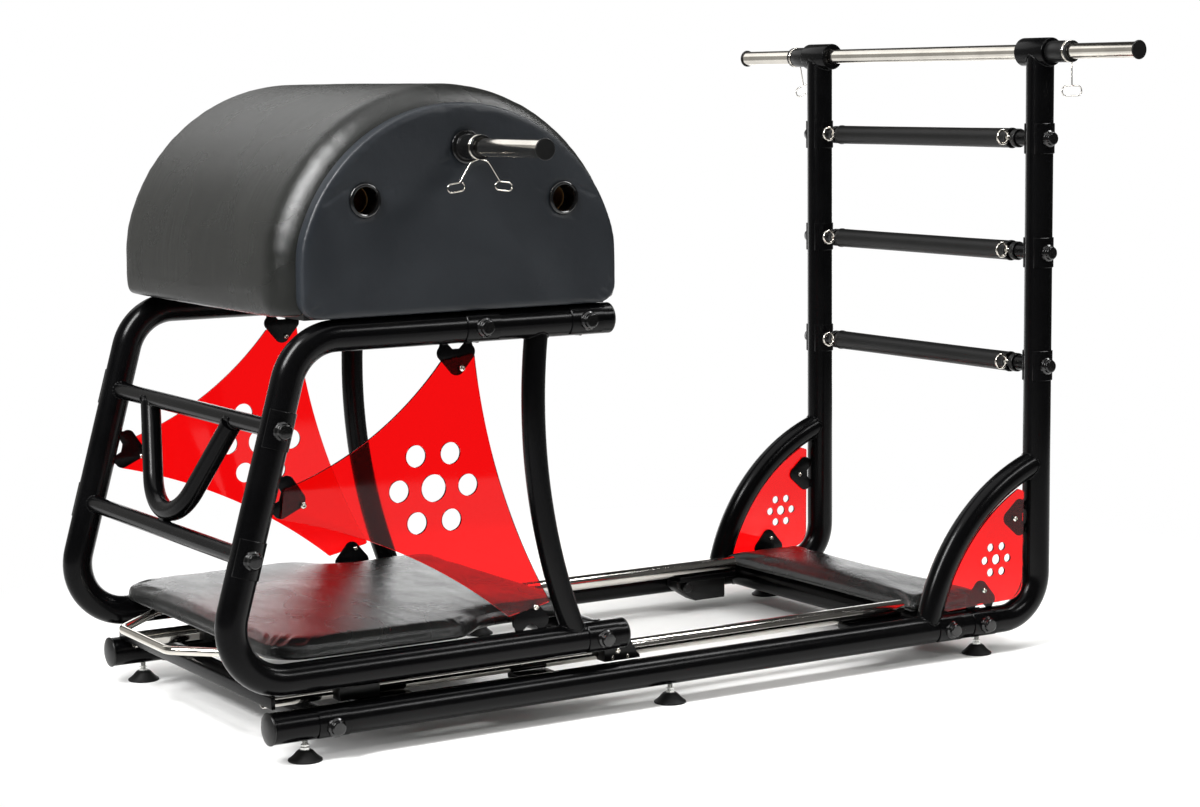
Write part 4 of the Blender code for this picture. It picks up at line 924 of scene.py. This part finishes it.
def carriage_side(label, side):
    """One side frame with its bowed leg, brackets, caps, fasteners and guide blocks."""
    y, out = side * CARRIAGE_Y, (0, side, 0)
    corners = [(HIGH_END, HIGH_Z), (leg_x(HIGH_Z), HIGH_Z), (leg_x(LOW_Z), LOW_Z), (LOW_END, LOW_Z)]
    path = bent([(x, y, z) for x, z in corners], [0.1, 0.1], 20)
    piece(sweep(f"side_tube_{label}", path, TUBE_R, 44), "paint", "carriage", f"side_frame_{label}")
    centre, bend = (-0.0556, 0.59), 1.153
    top, low = (180 - math.degrees(math.asin((z - centre[1]) / bend)) for z in (HIGH_Z, LOW_Z))
    leg = [Vector((x, y, z)) for x, z in arc(centre, bend, top, low, 40)]
    piece(sweep(f"bowed_leg_{label}", leg, LEG_R, 40), "paint", "carriage")
    for name, z, end, after in (("top", HIGH_Z, leg[4], leg[2]), ("low", LOW_Z, leg[-5], leg[-3])):
        bead(f"weld_leg_{name}_{label}", end, after - end, LEG_R, (0, y, z), LENGTHWISE, TUBE_R, "carriage")
    slope = math.hypot(1, LEG_SLOPE)
    leg_foot = (leg_x(0.4765) + TUBE_R * slope, 0.4765)
    for name, place, way in (("top", (-1.3668, HIGH_Z - TUBE_R), (0, -1)),
                             ("leg", leg_foot, (1 / slope, -LEG_SLOPE / slope)),
                             ("low", (-1.22, LOW_Z + TUBE_R), (0, 1))):
        bracket(f"{name}_bracket_{label}", place, way, side, 0.3715, "carriage")
    spots = ((-1.3583, 0.675), (-1.6788, 0.4553), (-1.2114, 0.2199))
    panel_screws("side", spots, label, side, 0.3789, 0.3695, "carriage")
    for name, x, z in (("top", HIGH_END, HIGH_Z), ("low", LOW_END, LOW_Z)):
        cap = lathe(f"tube_cap_{name}_{label}", cap_profile(TUBE_R), LENGTHWISE, (x, y, z), 48)
        piece(cap, "plastic", "carriage", f"frame_cap_{name}_{label}")
    spots = [(f"beam_{name}", x, HIGH_Z, LENGTHWISE) for name, x in BEAMS.items()]
    spots.append(("tie", TIE_X, LOW_Z, LENGTHWISE))
    lean = Vector((LEG_SLOPE, 0, 1)).normalized()
    spots += [(f"step_{name}", leg_x(z), z, lean) for name, z in STEPS.items()]
    for name, x, z, axis in spots:
        saddle(f"saddle_{name}_{label}", (x, y, z), axis, out, "carriage", 0.068)
        bolt_cap(f"bolt_{name}_{label}", (x, y + side * BOLT_OUT, z), out, "carriage")
    for place in ("front", "rear"):
        name = f"guide_{place}_{label}"
        piece(softened(name), "plastic", "carriage", name)
    screws = ((-1.013, 0.106, 0.0062), (-1.024, 0.094, 0.0036), (-0.991, 0.094, 0.0036))
    for number, (x, z, r) in enumerate(screws):
        screw(f"guide_screw_{number}_{label}", (x, side * 0.3439, z), out, "carriage", r, r * 0.5)


def panels(label, side):
    """The large panel of the carriage and the small one of the base on one side."""
    front = arc_through((-1.4, 0.69), (-1.5465, 0.561), (-1.715, 0.486), 40)
    low = arc_through((-1.722, 0.434), (-1.4926, 0.352), (-1.27, 0.209), 40)
    back = arc_through((-1.1805, 0.227), (-1.267, 0.412), (-1.3326, 0.7), 40)
    outlines = [soft(front + low + back, 0.004, 2)] + hole_pattern((-1.42, 0.462), 0.07, 0.02)
    sheet = plate(f"side_sheet_{label}", outlines, side * 0.3738, side * 0.3788)
    piece(sheet, "acrylic", "carriage", f"carriage_panel_{label}")
    centre, bend = BRACE_ARC
    curve = arc(centre, bend - BRACE_R - 0.005, 117.0, 163.3, 40)
    corner = arc((-0.075, 0.14), 0.036, 0, -90, 12)
    outline = soft([(-0.0375, 0.33)] + curve + [(-0.238, 0.0985)] + list(reversed(corner)), 0.003, 2)
    outlines = [outline] + hole_pattern((-0.111, 0.193), 0.03, 0.0085)
    sheet = plate(f"corner_sheet_{label}", outlines, side * 0.3788, side * 0.3838)
    piece(sheet, "acrylic", "base", f"ladder_panel_{label}")


def steps():
    """The two front rungs, and the V-shaped brace under the upper one."""
    lean = Vector((LEG_SLOPE, 0, 1)).normalized()
    for name, z in STEPS.items():
        x = leg_x(z)
        cross_bar(f"step_bar_{name}", x, z, 0.362, STEP_R, "carriage", f"step_{name}")
        for label, side in SIDES.items():
            leg = (x, side * CARRIAGE_Y, z)
            bead(f"weld_step_{name}_{label}", (x, 0, z), (0, side, 0), STEP_R, leg, lean, TUBE_R, "carriage")
    tip, root, spread = 0.319, 0.582, 0.19
    path = [(leg_x(root), spread, root), (leg_x(tip), 0, tip), (leg_x(root), -spread, root)]
    piece(sweep("v_brace_tube", bent(path, [0.119], 28), V_BRACE_R, 40), "paint", "carriage")
    for label, side in SIDES.items():
        start = Vector((leg_x(0.52), side * (0.52 - tip) * spread / 0.263, 0.52))
        top = Vector((leg_x(root), side * spread, root))
        step = (leg_x(0.592), 0, 0.592)
        bead(f"weld_v_{label}", start, top - start, V_BRACE_R, step, CROSSWISE, STEP_R, "carriage")
    x = leg_x(0.372)
    piece(block("v_tab", (x - 0.004, -0.012, 0.372), (x + 0.012, 0.012, 0.405)), "paint", "carriage")


def handle():
    """The bent release rod under the padded board, and the blocks that guide it."""
    half = [(-1.5, -0.245), (-1.7, -0.245), (-1.832, -0.112)]
    corners = half + [(x, -y) for x, y in reversed(half)]
    path = bent([(x, y, 0.168) for x, y in corners], [0.1, 0.035, 0.035, 0.1], 12)
    piece(sweep("pull_rod", path, 0.008, 24), "steel", "release_handle", "release_handle")
    for label, side in SIDES.items():
        low, high = sorted((side * 0.229, side * 0.261))
        seat = block(f"rod_seat_{label}", (-1.6, low, 0.154), (-1.56, high, 0.181), 0.0015)
        piece(seat, "plastic", "carriage")


def carriage():
    for label, side in SIDES.items():
        carriage_side(label, side)
        panels(label, side)
    bars = [(f"drum_beam_{place}", x, HIGH_Z) for place, x in BEAMS.items()] + [("rear_tie", TIE_X, LOW_Z)]
    for name, x, z in bars:
        welded_bar(name, x, z, TUBE_R - 0.0002, CARRIAGE_Y, z, "carriage", name)
    steps()
    handle()


# Padded pieces


def apply_modifiers(obj):
    mesh = evaluated(obj)
    obj.modifiers.clear()
    obj.data = mesh


def padding(obj, voxel, pressure, most, held):
    """Fills a closed form as upholstery: remeshed, swollen by cloth under pressure, then made smooth.
    held gives how firmly a point is fixed, from 0 to 1, and most is how far any point may move."""
    put(obj.modifiers.new("remesh", "REMESH"), mode="VOXEL", voxel_size=voxel)
    apply_modifiers(obj)
    obj.modifiers.new("even", "SMOOTH").iterations = 3
    apply_modifiers(obj)
    start = [v.co.copy() for v in obj.data.vertices]
    group = obj.vertex_groups.new(name="held")
    for i, point in enumerate(start):
        group.add([i], held(point), "REPLACE")
    cloth = obj.modifiers.new("cloth", "CLOTH")
    put(cloth.settings, quality=5, use_pressure=True, uniform_pressure_force=pressure,
        vertex_group_mass="held", pin_stiffness=5.0, tension_stiffness=18.0, compression_stiffness=12.0,
        bending_stiffness=0.6)
    cloth.settings.effector_weights.gravity = 0.0
    put(cloth.point_cache, frame_start=1, frame_end=CLOTH_FRAMES)
    for number in range(1, CLOTH_FRAMES + 1):
        bpy.context.scene.frame_set(number)
    graph = bpy.context.evaluated_depsgraph_get()
    moved = [v.co.copy() for v in obj.evaluated_get(graph).data.vertices]
    obj.modifiers.clear()
    for vertex, old, new in zip(obj.data.vertices, start, moved):
        step = new - old
        if step.length > most:
            step *= most / step.length
        vertex.co = old + step
    bpy.context.scene.frame_set(1)
    put(obj.modifiers.new("finer", "SUBSURF"), levels=1, render_levels=1)
    apply_modifiers(obj)
    obj.data.shade_smooth()


def crease(obj, depth):
    """Moves each point along its normal by depth(point, normal), in metres."""
    mesh = obj.data
    moves = [v.normal * depth(v.co, v.normal) for v in mesh.vertices]
    for vertex, move in zip(mesh.vertices, moves):
        vertex.co += move
    mesh.update()


def clamped(value):
    return max(0, min(1.0, value))


def noise_at(*place):
    return noise.noise(Vector(place))


def inset(outline, distance):
    """A closed counter-clockwise outline moved inwards."""
    moved = []
    count = len(outline)
    for i in range(count):
        before, here, after = Vector(outline[i - 1]), Vector(outline[i]), Vector(outline[(i + 1) % count])
        one, two = (here - before).normalized(), (after - here).normalized()
        normal = Vector((-one.y - two.y, one.x + two.x)) / (1 + one.dot(two))
        moved.append(tuple(here + normal * distance))
    return moved


def upright(reach, limit):
    """A distance that bends softly into its limit, so that a round side ends as a straight wall."""
    return reach / (1 + (abs(reach) / limit) ** 120) ** (1 / 120)


def d_outline(radius, wide, low, corner, steps):
    """A half-round outline about the drum's centre, with upright sides and round bottom corners."""
    x0, z0 = DRUM
    drop = math.degrees(math.asin((z0 - low - corner) / radius))
    outline = [(x0 + upright(x - x0, wide), z) for x, z in arc((x0, z0), radius, -drop, 180 + drop, steps)]
    left = arc((x0 - wide + corner, low + corner), corner, 180, 270, 10)
    right = arc((x0 + wide - corner, low + corner), corner, -90, 0, 10)
    return outline + left[1:] + right[:-1]


def drum_cover():
    """The padded vinyl cover: a thick half-round shell with well rounded ends."""
    half, around, inner, sweep_end = 0.38, 0.07, 0.3094, 6.9
    flat, radius = half - around, DRUM_R + 0.0024
    last = math.degrees(math.acos((inner - radius + around) / around))
    side_profile = [(0, radius + 0.001), (flat * 0.5, radius + 0.0005)]
    side_profile += arc((flat, radius - around), around, 90, 90 - last, 14)
    profile = side_profile + flipped(side_profile[1:])
    rings = []
    count = 90
    for step in range(count + 1):
        angle = math.radians((180 + 2 * sweep_end) * step / count - sweep_end)
        to_end = min(step, count - step) * (180 + 2 * sweep_end) / count
        drawn = 0.012 * max(0, 1 - to_end / 6) ** 2
        ring = []
        for y, r in profile:
            share = (r - inner) / (radius - inner)
            x = upright((r - drawn * share) * math.cos(angle), r - 0.005 * share)
            ring.append((DRUM[0] + x, y, DRUM[1] + (r - drawn * share) * math.sin(angle)))
        rings.append(ring)
    obj = rings_mesh("drum_cover", rings)

    def held(point):
        r = math.hypot(point.x - DRUM[0], point.z - DRUM[1])
        return max(clamped((inner + 0.016 - r) / 0.012), clamped((0.797 - point.z) / 0.012))

    def depth(point, normal):
        y, along = point.y, math.atan2(point.z - DRUM[1], point.x - DRUM[0]) * DRUM_R
        to_seam = abs(abs(y) - 0.335)
        pucker = math.exp(-((to_seam / 0.022) ** 2)) * noise_at(along * 42, y * 9, 3.1) * 0.0011
        drawn = noise_at(along * 7 + y * 5, y * 22 - along * 9, 0.7)
        return pucker + 0.00035 * drawn + 0.0009 * noise_at(along * 3.1, y * 4.3, 5.5)

    padding(obj, 0.0062, 4.0, 0.006, held)
    crease(obj, depth)
    piece(obj, "vinyl", "carriage", "drum_cushion")


def drum_end(label, side):
    """A padded drum end: rounded rim, faint swell and a slight draw-in round each grommet and the bush."""
    spots = (BARREL_BAR, *SIDE_HOLES)
    holes = [arc(place, 0.0246, 0, 345, 23) for place in spots]
    back, face = 0.3722, 0.3985
    outline = d_outline(0.3275, 0.3195, 0.7782, 0.038, 80)
    obj = plate(f"drum_end_{label}", [outline] + holes, side * (back - 0.01), side * face, 0.0045, 3)

    def held(point):
        return clamped((face - 0.01 - abs(point.y)) / 0.006)

    def depth(point, normal):
        if normal.y * side < 0.3:
            return 0.0
        x, z = point.x, point.z
        pull = sum(math.exp(-((math.hypot(x - a, z - b) / 0.042) ** 2)) for a, b in spots)
        slow, fine = noise_at(x * 6.0, z * 6.0, 1.3 + side), noise_at(x * 24.0, z * 17.0, 8.1)
        return 0.0004 + 0.0008 * slow + 0.00018 * fine - 0.0011 * pull

    padding(obj, 0.004, 1.6, 0.001, held)
    crease(obj, depth)
    for vertex in obj.data.vertices:
        if abs(vertex.co.y) < back + 0.0002:
            vertex.co.y = side * (back + 0.0002)
    piece(obj, "side_vinyl", "carriage", f"drum_side_{label}")


def pad_rings(outline, centre, low, high, crown):
    """The rings of a board with a rounded rim and a crowned top."""
    rings = [[(x, y, z) for x, y in inset(outline, step)] for step, z in
             ((0.0075, low), (0.0018, low + 0.006), (0.001, low + 0.012), (0.0015, high - 0.01),
              (0.0032, high - 0.0055), (0.0065, high - 0.0025), (0.0125, high - 0.0008))]
    inner = inset(outline, 0.0125)
    x0, y0 = centre
    for factor in (0.96, 0.9, 0.8, 0.65, 0.5, 0.32, 0.14):
        z = high + crown * (1 - factor**2)
        rings.append([(x0 + (x - x0) * factor, y0 + (y - y0) * factor, z) for x, y in inner])
    return rings


def pad(name, half, centre, low, high, crown, body, node_name, creases):
    """An upholstered board. Its outline is half and that half's mirror image."""
    outline = half + [(x, -y) for x, y in reversed(half)]
    obj = rings_mesh(name, pad_rings(outline, centre, low, high, crown))

    def held(point):
        return clamped((low + 0.01 - point.z) / 0.006)

    def depth(point, normal):
        if normal.z < 0.2:
            return 0.0
        fold = noise_at(point.x * creases[0], point.y * creases[1], 7.0)
        return 0.0007 * noise_at(point.x * 5, point.y * 5, 2.0) + 0.00055 * fold

    padding(obj, 0.005, 3.0, 0.0045, held)
    crease(obj, depth)
    for vertex in obj.data.vertices:
        vertex.co.z = max(vertex.co.z, low + 0.0002)
    piece(obj, "pad_vinyl", body, node_name)


def pads():
    """The padded board, notched for the bowed legs, and the standing platform."""
    wide = 0.3775
    half = [(-1.0675, 0.1), (-1.067, 0.2)] + arc((-1.0965, 0.28), 0.0295, 0, 90, 8)
    half += [(-1.13, 0.309), (-1.18, 0.3088), (-1.23, 0.3092), (-1.265, 0.3125), (-1.3, 0.325)]
    half += [(-1.345, 0.365), (-1.358, 0.3735), (-1.372, 0.3772), (-1.45, 0.3775), (-1.52, wide - 0.0005)]
    half += arc((-1.6665, wide - 0.075), 0.0745, 90, 180, 14) + [(-1.7405, 0.2), (-1.7395, 0.1)]
    pad("padded_board", half, (-1.42, 0), 0.1776, 0.2075, 0.005, "carriage", "carriage_pad", (34, 11))
    front, back, wide, r = -0.298, -0.0955, 0.3445, 0.014
    middle = (front + back) / 2
    half = [(back - 0.002, 0.06), (back - 0.0012, 0.18)]
    half += arc((back - r, wide - r), r, 0, 90, 6) + [(middle, wide - 0.0012)]
    half += arc((front + r, wide - r), r, 90, 180, 6) + [(front + 0.0012, 0.18), (front + 0.002, 0.06)]
    pad("padded_platform", half, (middle, 0), 0.0944, 0.1165, 0.008, "base", "platform_pad", (30, 12))


def drum():
    drum_cover()
    for label, side in SIDES.items():
        drum_end(label, side)
    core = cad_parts["drum_core"]
    core.data.materials.clear()
    core.data.materials.append(LOOKS["plywood"][0])


camera()
lights()
floor()
backdrop()
base()
carriage()
bushes()
bar("top_bar", 0.665, (0, TOP_Z), "ladder_bar")
bar("drum_bar", 0.674, BARREL_BAR, "barrel_bar")
clips()
drum()
pads()

bpy.context.scene.view_settings.view_transform = "Standard"
